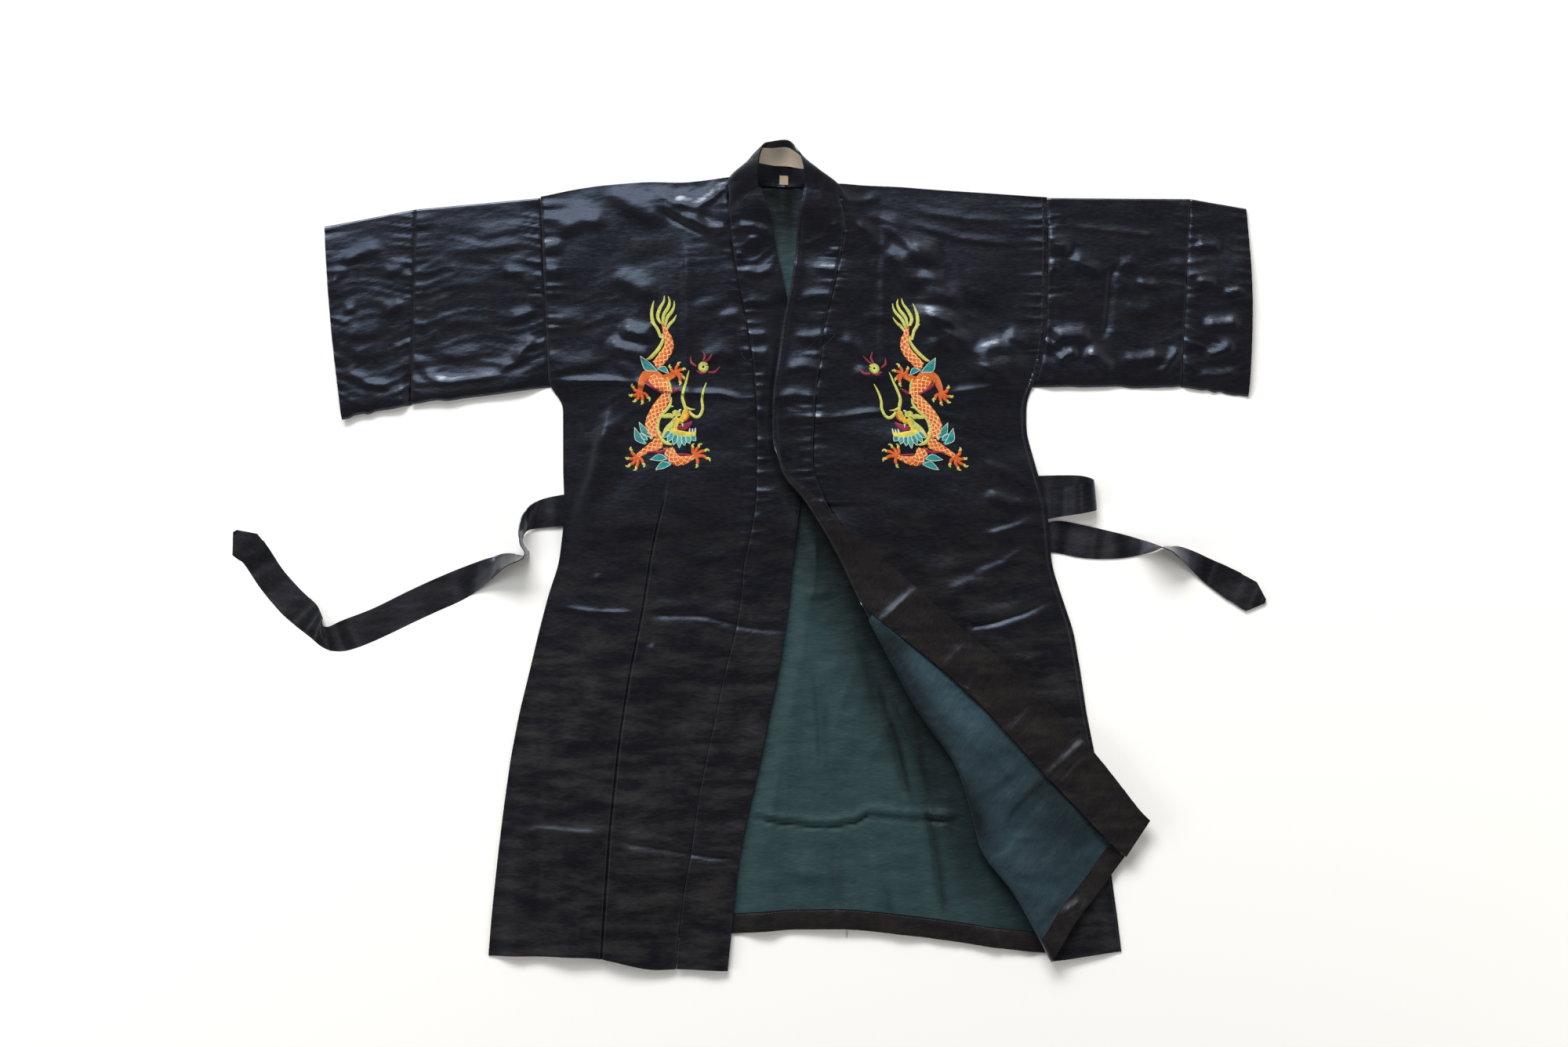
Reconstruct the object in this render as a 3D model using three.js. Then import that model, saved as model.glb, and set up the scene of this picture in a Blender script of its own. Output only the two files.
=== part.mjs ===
// A satin kimono robe laid flat, face up, with its right front turned back on itself.
// Units are millimetres, +Z is up and z = 0 is the surface that the robe lies on.
// The origin is on the underside of the back panel, on the robe's centre line.
// +X runs to the robe's left sleeve as the viewer sees it on the right, +Y to the neck.
// "left" and "right" below are the viewer's.
import * as THREE from "three";

// ---- driving dimensions -------------------------------------------------------
const SATIN_WALL = 1.2;
const BAND_WALL = 2.0;
const LINING_WALL = 1.0;
const BELT_WALL = 1.6;
const LABEL_WALL = 1.0;
const SEAM_GAP = 0.5;
const LABEL_GAP = 0.8;
const LAYER_GAP = 0.3;
const HEM_FACING_DEPTH = 26;

const LINING_BASE = SATIN_WALL + LAYER_GAP;
const FRONT_BASE = LINING_BASE + LINING_WALL + LAYER_GAP;
const OVERLAP_LIFT = 2.6;
const OVERLAP_RUN = 60;
const SLEEVE_HEIGHT = 4.2;
const SLEEVE_EDGE = 6;

// The fold of the right front: the line it turns on, and the radius of the roll.
const FOLD_TOP = { x: 18, y: 74 };
const FOLD_FOOT = { x: 354, y: -554 };
const ROLL_RADIUS = 2.0;
const ROLL_STEPS = 4;
const TURNED_STEPS = 4;
const HEM_HEIGHT = -552;
const FACING_ROW = HEM_HEIGHT + HEM_FACING_DEPTH;

// One row for each height across the body. left and right are the side seams, the seam and
// edge columns are the two front bands with the right front opened out flat, lift is how far
// the belt raises the layers above it, and tuck the further lift at the right side seam.
const SECTIONS = [
  { y: 440, left: -329.7, leftSeam: -78, leftEdge: -22, rightEdge: 13, rightSeam: 78, right: 347.3 },
  { y: 400, left: -328, leftSeam: -74, leftEdge: -15.5, rightEdge: 11, rightSeam: 72, right: 347.6 },
  { y: 350, left: -325.8, leftSeam: -65, leftEdge: -4, rightEdge: 3.5, rightSeam: 61.5, right: 346.8 },
  { y: 300, left: -323.7, leftSeam: -54.5, leftEdge: 5, rightEdge: -7, rightSeam: 49, right: 346 },
  { y: 250, left: -321.5, leftSeam: -47, leftEdge: 12.5, rightEdge: -14, rightSeam: 43, right: 340 },
  { y: 215, left: -320, leftSeam: -44, leftEdge: 14.5, rightEdge: -19, rightSeam: 38.5, right: 326.5 },
  { y: 198, left: -301, leftSeam: -42.5, leftEdge: 15.5, rightEdge: -20.5, rightSeam: 36.5, right: 319 },
  { y: 155, left: -301, leftSeam: -41.5, leftEdge: 18, rightEdge: -21, rightSeam: 35, right: 319 },
  { y: 112, left: -301, leftSeam: -42, leftEdge: 17.5, rightEdge: -11, rightSeam: 38, right: 329 },
  { y: 100, left: -300.6, leftSeam: -42.3, leftEdge: 17.5, rightEdge: -8, rightSeam: 40.5, right: 334,
    lift: 1.9, tuck: 1.9 },
  { y: 63, left: -299, leftSeam: -43, leftEdge: 17, rightEdge: 4, rightSeam: 49, right: 345.5,
    lift: 1.9, tuck: 1.9 },
  { y: 26, left: -300.7, leftSeam: -48.5, leftEdge: 11.5, rightEdge: 16.5, rightSeam: 69, right: 349,
    lift: 1.9, tuck: 1.9 },
  { y: 12, left: -301.5, leftSeam: -52, leftEdge: 9, rightEdge: 18.5, rightSeam: 74, right: 350, tuck: 1.9 },
  { y: -8, left: -304, leftSeam: -57, leftEdge: 7, rightEdge: 21, rightSeam: 81, right: 351.8, tuck: 1.9 },
  { y: -22, left: -307, leftSeam: -59.5, leftEdge: 6, rightEdge: 22.5, rightSeam: 85, right: 353 },
  { y: -60, left: -320, leftSeam: -62, leftEdge: 3, rightEdge: 26, rightSeam: 93, right: 365 },
  { y: -110, left: -333, leftSeam: -70, leftEdge: -4, rightEdge: 31.5, rightSeam: 97.5, right: 382 },
  { y: -165, left: -346, leftSeam: -84.5, leftEdge: -13, rightEdge: 39.5, rightSeam: 101.5, right: 391.5 },
  { y: -220, left: -359.5, leftSeam: -96, leftEdge: -24.5, rightEdge: 47, rightSeam: 106.5, right: 399.5 },
  { y: -280, left: -371, leftSeam: -109, leftEdge: -36.5, rightEdge: 51.5, rightSeam: 116.5, right: 411.5 },
  { y: -340, left: -379.5, leftSeam: -121, leftEdge: -50, rightEdge: 61.5, rightSeam: 131, right: 420 },
  { y: -400, left: -387, leftSeam: -128.5, leftEdge: -63.5, rightEdge: 73, rightSeam: 145.5, right: 428.5 },
  { y: -460, left: -393.5, leftSeam: -139.5, leftEdge: -70.5, rightEdge: 89.5, rightSeam: 158.5, right: 436 },
  { y: -495, left: -397, leftSeam: -143.5, leftEdge: -73.5, rightEdge: 101, rightSeam: 167, right: 441 },
];

// Shoulder lines, neckline and hems, as heights at places along x.
const FRONT_TOP_LEFT = [
  { x: -331, y: 470 }, { x: -299, y: 478 }, { x: -257, y: 485 }, { x: -184, y: 491 },
  { x: -142, y: 489 }, { x: -74, y: 497 },
];
const FRONT_TOP_RIGHT = [
  { x: 67, y: 487 }, { x: 150, y: 484 }, { x: 199, y: 480 }, { x: 262, y: 476 }, { x: 347, y: 470 },
];
const BACK_TOP = [
  ...FRONT_TOP_LEFT, { x: -40, y: 491 }, { x: 0, y: 488 }, { x: 40, y: 488 }, ...FRONT_TOP_RIGHT,
];
const HEM_LEFT = [
  { x: -401, y: -545 }, { x: -320, y: -545 }, { x: -253, y: -547 }, { x: -215, y: -556 },
  { x: -183, y: -564 }, { x: -149, y: -562 }, { x: -80, y: -565 },
];
const HEM_RIGHT = [
  { x: 119, y: -557 }, { x: 180, y: -557 }, { x: 240, y: -554 }, { x: 282, y: -549 },
  { x: 354, y: -552 }, { x: 447, y: -539 },
];
const HEM_BACK = [
  { x: -397, y: -528 }, { x: -76, y: -515 }, { x: 2, y: -509 }, { x: 83, y: -508 },
  { x: 147, y: -515 }, { x: 211, y: -523 }, { x: 275, y: -533 }, { x: 343, y: -541 },
  { x: 447, y: -539 },
];
const HEM_ROW = {
  left: -401, leftSeam: -149, leftEdge: -80, rightEdge: 119, rightSeam: 178, right: 447, backLeft: -397,
};

// Folds of the left front: a valley that runs down from the waist, with a soft lobe each side.
const VALLEY = [
  { y: 100, x: -157, rise: 0 }, { y: 0, x: -172, rise: 0.6 }, { y: -110, x: -202, rise: 1.4 },
  { y: -220, x: -222, rise: 2.2 }, { y: -340, x: -232, rise: 3.0 }, { y: -460, x: -244, rise: 3.8 },
  { y: -570, x: -253, rise: 4.4 },
];
const LOBE_OUT = 62;
const LOBE_IN = 46;

// The neck band: where it is sewn on, its belly, and its free edge, from the left band
// round the back of the neck to the right band.
const NECK_BAND = [
  { seam: [-79.3, 452.8, 3.8], belly: [-59.9, 468.3, 3.8], edge: [-40.4, 483.9, 3.8] },
  { seam: [-80, 461, 3.9], belly: [-66, 476, 6.5], edge: [-40, 489, 8.5] },
  { seam: [-79.5, 473, 4.0], belly: [-73, 488, 15], edge: [-40, 497, 22] },
  { seam: [-75, 485, 4.2], belly: [-74, 500, 21], edge: [-41, 507, 36] },
  { seam: [-62, 490, 3.4], belly: [-59, 514, 22], edge: [-40, 524, 40] },
  { seam: [-42, 487, 2.8], belly: [-44, 520, 19], edge: [-34, 542, 34] },
  { seam: [-20, 485, 2.7], belly: [-20, 517, 9], edge: [-22, 546, 27] },
  { seam: [0, 484, 2.7], belly: [0, 516, 8], edge: [-3, 548, 24] },
  { seam: [16, 485, 2.7], belly: [12, 514, 11], edge: [7, 543, 28] },
  { seam: [34, 485, 3.0], belly: [29, 510, 20], edge: [17, 530, 36] },
  { seam: [50, 486, 3.8], belly: [47, 504, 20], edge: [21, 514, 36] },
  { seam: [61, 483, 5.2], belly: [56, 494, 16], edge: [22, 498, 24] },
  { seam: [65.6, 473.8, 6.4], belly: [44, 477.8, 6.4], edge: [22.2, 481.8, 6.4] },
];
const NECK_ACROSS = [0, 0.22, 0.45, 0.65, 0.85, 1];
const LABEL = { sections: [5.25, 6, 7, 8, 8.8], across: [0.45, 0.65, 0.85] };
const SIZE_TAG = { sections: [6.4, 7], across: [0.05, 0.24] };

// Sleeves: the line of each seam, from its lower point to its upper point.
const LEFT_SLEEVE_SEAM = { low: [-504, 192], high: [-499, 454] };
const LEFT_CUFF = { low: [-596, 173], high: [-620, 431] };
const RIGHT_SLEEVE_SEAM = { low: [526, 216], high: [538, 468] };
const RIGHT_CUFF = { low: [616, 203], high: [613, 455] };

// The belt, 40 wide: the places of its two long edges, a row for each section of its run.
const BELT_LEFT = [
  { a: [-295.5, 73, 0.8], b: [-295.5, 31, 0.8] },
  { a: [-318, 69, 1.2], b: [-318, 29, 0.8] },
  { a: [-333, 65, 4], b: [-338, 27, 0.8] },
  { a: [-346, 58, 14], b: [-349, 25, 1.2] },
  { a: [-357, 44, 26], b: [-355, 19, 1.2] },
  { a: [-362, 26, 35], b: [-357, 10, 1.2] },
  { a: [-360, 6, 38], b: [-353, 0, 1.2] },
  { a: [-354, -5, 39], b: [-349, -6, 1.2] },
  { a: [-357, -12, 38], b: [-354, -9, 1.2] },
  { a: [-367, -17, 34], b: [-366, -6, 1.2] },
  { a: [-383, -26, 26], b: [-381, -6, 1.2] },
  { a: [-400, -42, 12], b: [-396, -11, 1.0] },
  { a: [-419, -58, 3], b: [-414, -17, 0.8] },
  { a: [-440, -71, 0.8], b: [-455, -33, 0.8] },
  { a: [-487, -92, 0.8], b: [-504, -55, 0.8] },
  { a: [-539, -117, 0.8], b: [-555, -80, 0.8] },
  { a: [-580, -134, 0.8], b: [-596, -96, 1.5] },
  { a: [-604, -138, 0.8], b: [-616, -105, 4] },
  { a: [-623, -133, 0.8], b: [-625, -101, 6] },
  { a: [-640, -119, 0.8], b: [-626, -90, 4] },
  { a: [-660, -103, 0.8], b: [-632, -75, 1.5] },
  { a: [-679, -86, 0.8], b: [-650, -58, 0.8] },
  { a: [-706, -54, 0.8], b: [-675, -30, 0.8] },
  { a: [-729, -20, 0.8], b: [-697, 3, 0.8] },
  { a: [-744, -9, 0.8], b: [-711, 20, 0.8] },
  { a: [-743, 22, 0.8], b: [-738, 25, 0.8] },
];
const BELT_BACK = [
  { a: [-295, 73, 0.8], b: [-295, 31, 0.8] },
  { a: [-100, 77, 0.8], b: [-100, 36, 0.8] },
  { a: [120, 86, 0.8], b: [120, 46, 0.8] },
  { a: [322, 97, 0.8], b: [322, 57, 0.8] },
];
const BELT_RIGHT_LOOP = [
  { a: [322.5, 97, 0.8], b: [322.5, 57, 0.8] },
  { a: [355, 98, 0.8], b: [355, 58, 0.8] },
  { a: [386, 98, 0.9], b: [386, 58, 0.9] },
  { a: [400, 96, 2], b: [404, 56, 2] },
  { a: [407, 93, 6], b: [411, 53, 6] },
  { a: [408, 90, 11], b: [411, 51, 11] },
  { a: [402, 89, 14], b: [404, 49, 14] },
  { a: [388, 86, 13.5], b: [388, 46, 13.5] },
  { a: [370, 82, 8], b: [368, 43, 8] },
  { a: [354, 78, 2.7], b: [352, 40, 2.7] },
  { a: [340, 76, 2.7], b: [338, 38, 2.7] },
];
const BELT_RIGHT_TAIL = [
  { a: [338, 33, 0.8], b: [338, -5, 0.8] },
  { a: [365, 37, 0.8], b: [360, -6, 0.8] },
  { a: [398, 31, 0.8], b: [390, -12, 0.8] },
  { a: [424, 25, 0.8], b: [418, -14, 0.8] },
  { a: [452, 18, 1.5], b: [448, -13, 5] },
  { a: [478, 9, 2], b: [474, -9, 24] },
  { a: [494, 3, 2], b: [492, -4, 36] },
  { a: [504, -1, 2], b: [504, 1, 38] },
  { a: [514, -5, 2], b: [513, 1, 34] },
  { a: [524, -14, 2], b: [525, 1, 24] },
  { a: [539, -28, 1.2], b: [546, -5, 6] },
  { a: [556, -44, 0.8], b: [566, -14, 0.8] },
  { a: [577, -60, 0.8], b: [595, -27, 0.8] },
  { a: [613, -84, 0.8], b: [628, -45, 0.8] },
  { a: [639, -73, 0.8], b: [640, -68, 0.8] },
];

// ---- materials ----------------------------------------------------------------
function cloth(color, roughness) {
  return new THREE.MeshStandardMaterial({ color, roughness, metalness: 0 });
}
const SATIN = cloth(0x1d1f2a, 0.35);
const FACING = cloth(0x1f1b1d, 0.4);
const LINING = cloth(0x2a4446, 0.55);
const LABEL_WEAVE = cloth(0xcfc4ae, 0.7);

// ---- small tools ---------------------------------------------------------------
function clamp01(value) {
  return Math.min(1, Math.max(0, value));
}

// The value of one column at a place along a table that is sorted by its key column.
function along(table, key, at, column) {
  const rising = table[table.length - 1][key] > table[0][key];
  const rows = rising ? table : [...table].reverse();
  for (let i = 1; i < rows.length; i += 1) {
    if (at <= rows[i][key] || i === rows.length - 1) {
      const span = rows[i][key] - rows[i - 1][key];
      const share = clamp01((at - rows[i - 1][key]) / span);
      const from = rows[i - 1][column] ?? 0;
      const to = rows[i][column] ?? 0;
      return from + (to - from) * share;
    }
  }
  return rows[0][column];
}

// A mesh from shared points and triangles, its faces turned outwards by its signed volume.
function solid(name, points, triangles, material) {
  let volume = 0;
  for (const [i, j, k] of triangles) {
    const [a, b, c] = [points[i], points[j], points[k]];
    volume += a[0] * (b[1] * c[2] - b[2] * c[1]);
    volume += a[1] * (b[2] * c[0] - b[0] * c[2]);
    volume += a[2] * (b[0] * c[1] - b[1] * c[0]);
  }
  const facing = volume > 0 ? triangles : triangles.map(([i, j, k]) => [i, k, j]);
  const geometry = new THREE.BufferGeometry();
  geometry.setAttribute("position", new THREE.Float32BufferAttribute(points.flat(), 3));
  geometry.setIndex(facing.flat());
  geometry.computeVertexNormals();
  const mesh = new THREE.Mesh(geometry, material);
  mesh.name = name;
  return mesh;
}

// A closed wall between two grids of points of the same shape, an upper and a lower one.
function wall(name, upper, lower, material) {
  const rows = upper.length;
  const columns = upper[0].length;
  const points = [...upper.flat(), ...lower.flat()];
  const under = rows * columns;
  const triangles = [];
  for (let i = 0; i + 1 < rows; i += 1) {
    for (let j = 0; j + 1 < columns; j += 1) {
      const a = i * columns + j;
      const b = a + columns;
      triangles.push([a, b, b + 1], [a, b + 1, a + 1]);
      triangles.push([under + a, under + b + 1, under + b], [under + a, under + a + 1, under + b + 1]);
    }
  }
  const rim = [];
  for (let i = 0; i + 1 < rows; i += 1) rim.push(i * columns);
  for (let j = 0; j + 1 < columns; j += 1) rim.push((rows - 1) * columns + j);
  for (let i = rows - 1; i > 0; i -= 1) rim.push(i * columns + columns - 1);
  for (let j = columns - 1; j > 0; j -= 1) rim.push(j);
  for (let n = 0; n < rim.length; n += 1) {
    const a = rim[n];
    const b = rim[(n + 1) % rim.length];
    triangles.push([b, a, under + a], [b, under + a, under + b]);
  }
  return solid(name, points, triangles, material);
}

// A flattened tube, open at both ends, between an outer and an inner loop at each station.
function tube(name, outer, inner, material) {
  const stations = outer.length;
  const round = outer[0].length;
  const points = [...outer.flat(), ...inner.flat()];
  const inside = stations * round;
  const triangles = [];
  for (let n = 0; n < round; n += 1) {
    const next = (n + 1) % round;
    for (let k = 0; k + 1 < stations; k += 1) {
      const a = k * round + n;
      const b = k * round + next;
      triangles.push([a, b, b + round], [a, b + round, a + round]);
      triangles.push([inside + a, inside + b + round, inside + b]);
      triangles.push([inside + a, inside + a + round, inside + b + round]);
    }
    const last = (stations - 1) * round;
    triangles.push([n, inside + next, next], [n, inside + n, inside + next]);
    triangles.push([last + n, last + next, inside + last + next]);
    triangles.push([last + n, inside + last + next, inside + last + n]);
  }
  return solid(name, points, triangles, material);
}

// ---- the body's layers -----------------------------------------------------------
// Columns near a side seam stand at the same distances from it on every layer.
const SIDE_OFFSETS = [0, 14, 40];
const MID_BODY = 200;
const LINING_STEPS = 7;

function rowAt(y) {
  const row = { y };
  const names = ["left", "leftSeam", "leftEdge", "rightEdge", "rightSeam", "right", "lift", "tuck"];
  for (const column of names) row[column] = along(SECTIONS, "y", y, column);
  return row;
}

// How far the belt under the back raises every layer, at a height and a distance from the right seam.
function lift(y, fromRight) {
  const tucked = along(SECTIONS, "y", y, "tuck") * clamp01((40 - fromRight) / 26);
  return along(SECTIONS, "y", y, "lift") + tucked;
}

// Places from one x to another in equal steps, both ends included.
function spread(from, to, steps) {
  return Array.from({ length: steps + 1 }, (_, n) => from + ((to - from) * n) / steps);
}

function backColumns(left, right) {
  const near = SIDE_OFFSETS.map((offset) => left + offset);
  const far = SIDE_OFFSETS.map((offset) => right - offset).reverse();
  return [...near, ...spread(near[2], far[0], 6).slice(1, -1), ...far];
}

function atHeight(rows, wallHeight) {
  return rows.map((row) => row.map(([x, y, z]) => [x, y, z + wallHeight]));
}

function makeBackPanel() {
  const rows = [];
  const top = backColumns(-330.4, 346.4);
  rows.push(top.map((x) => [x, along(BACK_TOP, "x", x, "y") - 0.6, 0]));
  for (const row of SECTIONS.filter((section) => section.y > -470)) {
    const inset = 0.6;
    const xs = backColumns(row.left + inset, row.right - inset);
    rows.push(xs.map((x) => [x, row.y, lift(row.y, row.right - inset - x)]));
  }
  const foot = backColumns(HEM_ROW.backLeft, HEM_ROW.right - 0.6);
  rows.push(foot.map((x) => [x, along(HEM_BACK, "x", x, "y"), 0]));
  return wall("back_panel", atHeight(rows, SATIN_WALL), rows, SATIN);
}

// The right-hand limit of the back lining: under the right front, past its seam or its fold.
function foldX(y) {
  const slope = (FOLD_FOOT.x - FOLD_TOP.x) / (FOLD_FOOT.y - FOLD_TOP.y);
  return FOLD_TOP.x + (y - FOLD_TOP.y) * slope;
}

function liningSpan(y) {
  const row = rowAt(y);
  return [row.leftSeam + 8, Math.max(row.rightSeam - 4, foldX(y) + 30)];
}

function makeBackLining() {
  const heights = [478, ...SECTIONS.map((section) => section.y).filter((y) => y > -470)];
  const rows = heights.map((y) => {
    const [from, to] = liningSpan(y);
    return spread(from, to, LINING_STEPS).map((x) => [x, y, LINING_BASE + lift(y, MID_BODY)]);
  });
  const [from, to] = liningSpan(-480);
  rows.push(spread(from, to, LINING_STEPS).map((x) => [x, facingTop(x) + SEAM_GAP, LINING_BASE]));
  return wall("back_lining", atHeight(rows, LINING_WALL), rows, LINING);
}

function facingTop(x) {
  return along(HEM_BACK, "x", x, "y") + HEM_FACING_DEPTH;
}

function makeBackHemFacing() {
  const [from, to] = liningSpan(-480);
  const xs = spread(from, to, LINING_STEPS);
  const rows = [
    xs.map((x) => [x, facingTop(x), LINING_BASE]),
    xs.map((x) => [x, along(HEM_BACK, "x", x, "y"), LINING_BASE]),
  ];
  return wall("back_hem_facing", atHeight(rows, LINING_WALL), rows, FACING);
}

// The height of a front above the surface: low where it is sewn to the back at the side,
// open at the armhole, and clear of the lining further in.
function sideBase(y, offset) {
  const armhole = y > 206;
  const sewn = armhole ? SLEEVE_HEIGHT - SATIN_WALL : SATIN_WALL + LAYER_GAP;
  return sewn + (FRONT_BASE - sewn) * clamp01(offset / SIDE_OFFSETS[1]);
}

function leftFrontRow(y, left, seam, heightAt) {
  const valley = along(VALLEY, "y", y, "x");
  const rise = along(VALLEY, "y", y, "rise");
  const inner = Math.max(left + 60, valley - LOBE_OUT);
  const places = [
    { x: left, z: sideBase(y, 0) },
    { x: left + SIDE_OFFSETS[1], z: FRONT_BASE },
    { x: left + SIDE_OFFSETS[2], z: FRONT_BASE + rise * 0.4 },
    { x: inner, z: FRONT_BASE + rise },
    { x: valley, z: FRONT_BASE },
    { x: valley + LOBE_IN, z: FRONT_BASE + rise * 0.7 },
    { x: (valley + LOBE_IN + seam) / 2, z: FRONT_BASE + rise * 0.3 },
    { x: seam, z: FRONT_BASE },
  ];
  return places.map(({ x, z }) => [x, heightAt(x), z + lift(y, MID_BODY)]);
}

function makeLeftFront() {
  const rows = [];
  const neckX = -75;
  const top = leftFrontRow(490, -330.4, neckX, (x) => along(FRONT_TOP_LEFT, "x", x, "y") - 0.6);
  rows.push(top.map(([x, y], n) => [x, y, n === 0 ? sideBase(490, 0) : LINING_BASE + 0.6]));
  rows.push(leftFrontRow(468, -330.9, -84.2, (x) => 468 - clamp01((-x - 260) / 70) * 8));
  for (const row of SECTIONS) {
    rows.push(leftFrontRow(row.y, row.left, row.leftSeam, () => row.y));
  }
  const hem = (x) => along(HEM_LEFT, "x", x, "y");
  rows.push(leftFrontRow(HEM_HEIGHT, HEM_ROW.left, HEM_ROW.leftSeam, hem));
  return wall("left_front", atHeight(rows, SATIN_WALL), rows, SATIN);
}

function makeLeftBand() {
  const across = (from, to, base) => {
    return [0, 0.5, 1].map((share) => [
      from[0] + (to[0] - from[0]) * share,
      from[1] + (to[1] - from[1]) * share,
      base,
    ]);
  };
  const rows = [across([-79 + SEAM_GAP, 451], [-39.5, 482.4], FRONT_BASE)];
  for (const row of SECTIONS) {
    const tilt = row.y === 440 ? 14 : 0;
    const base = FRONT_BASE + lift(row.y, MID_BODY);
    rows.push(across([row.leftSeam + SEAM_GAP, row.y], [row.leftEdge, row.y + tilt], base));
  }
  rows.push(across([HEM_ROW.leftSeam + SEAM_GAP, -562], [HEM_ROW.leftEdge, -565], FRONT_BASE));
  return wall("left_band", atHeight(rows, BAND_WALL), rows, SATIN);
}

// ---- the right front, folded over ---------------------------------------------------
const FOLD = (() => {
  const dx = FOLD_FOOT.x - FOLD_TOP.x;
  const dy = FOLD_FOOT.y - FOLD_TOP.y;
  const length = Math.hypot(dx, dy);
  return { tx: dx / length, ty: dy / length, nx: -dy / length, ny: dx / length };
})();

// Distance of a point from the fold line, positive on the side that lies face up.
function foldSide(x, y) {
  return (x - FOLD_TOP.x) * FOLD.nx + (y - FOLD_TOP.y) * FOLD.ny;
}

// The x at a height where that distance has a given value.
function foldPlace(side, y) {
  return FOLD_TOP.x + (side - (y - FOLD_TOP.y) * FOLD.ny) / FOLD.nx;
}

// The underside of the right front where it lies face up. It climbs over the left band.
function rightBase(x, y) {
  const row = rowAt(y);
  const inward = Math.min(x - row.rightSeam, foldSide(x, y));
  const fromRight = row.right - x;
  const climb = OVERLAP_LIFT * clamp01(1 - inward / OVERLAP_RUN);
  return FRONT_BASE + climb + lift(y, fromRight);
}

// Carries a point of the opened-out front to where it lies: flat, round the roll, or turned
// over. half is half the wall, and out the distance from the cloth's middle towards its lining.
function turned(x, y, half, out) {
  const side = foldSide(x, y);
  const run = ROLL_RADIUS - side;
  if (run <= 0) return [x, y, rightBase(x, y) + half - out];
  const lay = (newSide, rise) => {
    const px = x + (newSide - side) * FOLD.nx;
    const py = y + (newSide - side) * FOLD.ny;
    return [px, py, rightBase(px, py) + half + rise];
  };
  const angle = run / ROLL_RADIUS;
  if (angle < Math.PI) {
    const reach = ROLL_RADIUS + out;
    const flatX = x + run * FOLD.nx;
    const flatY = y + run * FOLD.ny;
    const middle = rightBase(flatX, flatY) + half;
    const shift = -reach * Math.sin(angle);
    const rise = ROLL_RADIUS - reach * Math.cos(angle);
    return [flatX + shift * FOLD.nx, flatY + shift * FOLD.ny, middle + rise];
  }
  return lay(ROLL_RADIUS + run - Math.PI * ROLL_RADIUS, 2 * ROLL_RADIUS + out);
}

// Columns of an opened-out row that follow the roll wherever it crosses the row.
function foldedColumns(y, from, to, beyond, kept) {
  const least = 0.8;
  const roll = [];
  for (let n = ROLL_STEPS; n >= 0; n -= 1) {
    roll.push(foldPlace(ROLL_RADIUS - (Math.PI * ROLL_RADIUS * n) / ROLL_STEPS, y));
  }
  const held = roll.map((x, n) => {
    const low = from + least * (beyond + n);
    const high = to - least * (kept + roll.length - 1 - n);
    return Math.min(high, Math.max(low, x));
  });
  const before = spread(from, held[0], beyond).slice(0, -1);
  const after = spread(held[held.length - 1], to, kept).slice(1);
  return [...before, ...held, ...after];
}

function foldedWall(name, places, half, outLow, outHigh, material) {
  const upper = places.map((row) => row.map(([x, y, drop]) => lowered(turned(x, y, half, outLow), drop)));
  const lower = places.map((row) => row.map(([x, y, drop]) => lowered(turned(x, y, half, outHigh), drop)));
  return wall(name, upper, lower, material);
}

function lowered([x, y, z], drop) {
  return [x, y, z - (drop ?? 0)];
}

function rightFrontRow(y, seam, right, heightAt) {
  const side = SIDE_OFFSETS.map((offset) => right - offset).reverse();
  const inner = foldedColumns(y, seam, side[0], TURNED_STEPS, 4);
  const xs = [...inner, ...side.slice(1)];
  return xs.map((x) => {
    const offset = right - x;
    const drop = offset < SIDE_OFFSETS[1] ? FRONT_BASE - sideBase(y, offset) : 0;
    return [x, heightAt(x), drop];
  });
}

function makeRightFront() {
  const rows = [];
  const top = rightFrontRow(487, 68.5, 346.4, (x) => along(FRONT_TOP_RIGHT, "x", x, "y") - 0.6);
  rows.push(top.map(([x, y, drop]) => [x, y, x > 340 ? drop : 0.7]));
  rows.push(rightFrontRow(470, 68.5, 347, (x) => 470 - clamp01((x - 270) / 76) * 10));
  for (const row of SECTIONS) {
    rows.push(rightFrontRow(row.y, row.rightSeam, row.right, () => row.y));
  }
  const hem = (x) => along(HEM_RIGHT, "x", x, "y");
  rows.push(rightFrontRow(FACING_ROW, 175, 444, (x) => hem(x) + HEM_FACING_DEPTH));
  rows.push(rightFrontRow(HEM_HEIGHT, HEM_ROW.rightSeam, HEM_ROW.right, hem));
  const half = SATIN_WALL / 2;
  return foldedWall("right_front", rows, half, -half, half, SATIN);
}

function makeRightBand() {
  const rows = [];
  const bandRow = (y, edge, seam, heightAt) => {
    return foldedColumns(y, edge, seam - SEAM_GAP, 2, 2).map((x) => [x, heightAt(x)]);
  };
  const topSlope = (473 - 481) / (66 - 22);
  rows.push(bandRow(478, 22, 66.2, (x) => 481 + (x - 22) * topSlope));
  for (const row of SECTIONS) rows.push(bandRow(row.y, row.rightEdge, row.rightSeam, () => row.y));
  rows.push(bandRow(HEM_HEIGHT, HEM_ROW.rightEdge, HEM_ROW.rightSeam, () => -557));
  const half = BAND_WALL / 2;
  return foldedWall("right_band", rows, half, -half, half, SATIN);
}

// The lining of the turned-back part lies outside the roll, against the satin.
const LINING_IN = SATIN_WALL / 2 + LAYER_GAP;
const LINING_OUT = LINING_IN + LINING_WALL;
const LINING_TUCK = 10;

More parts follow.
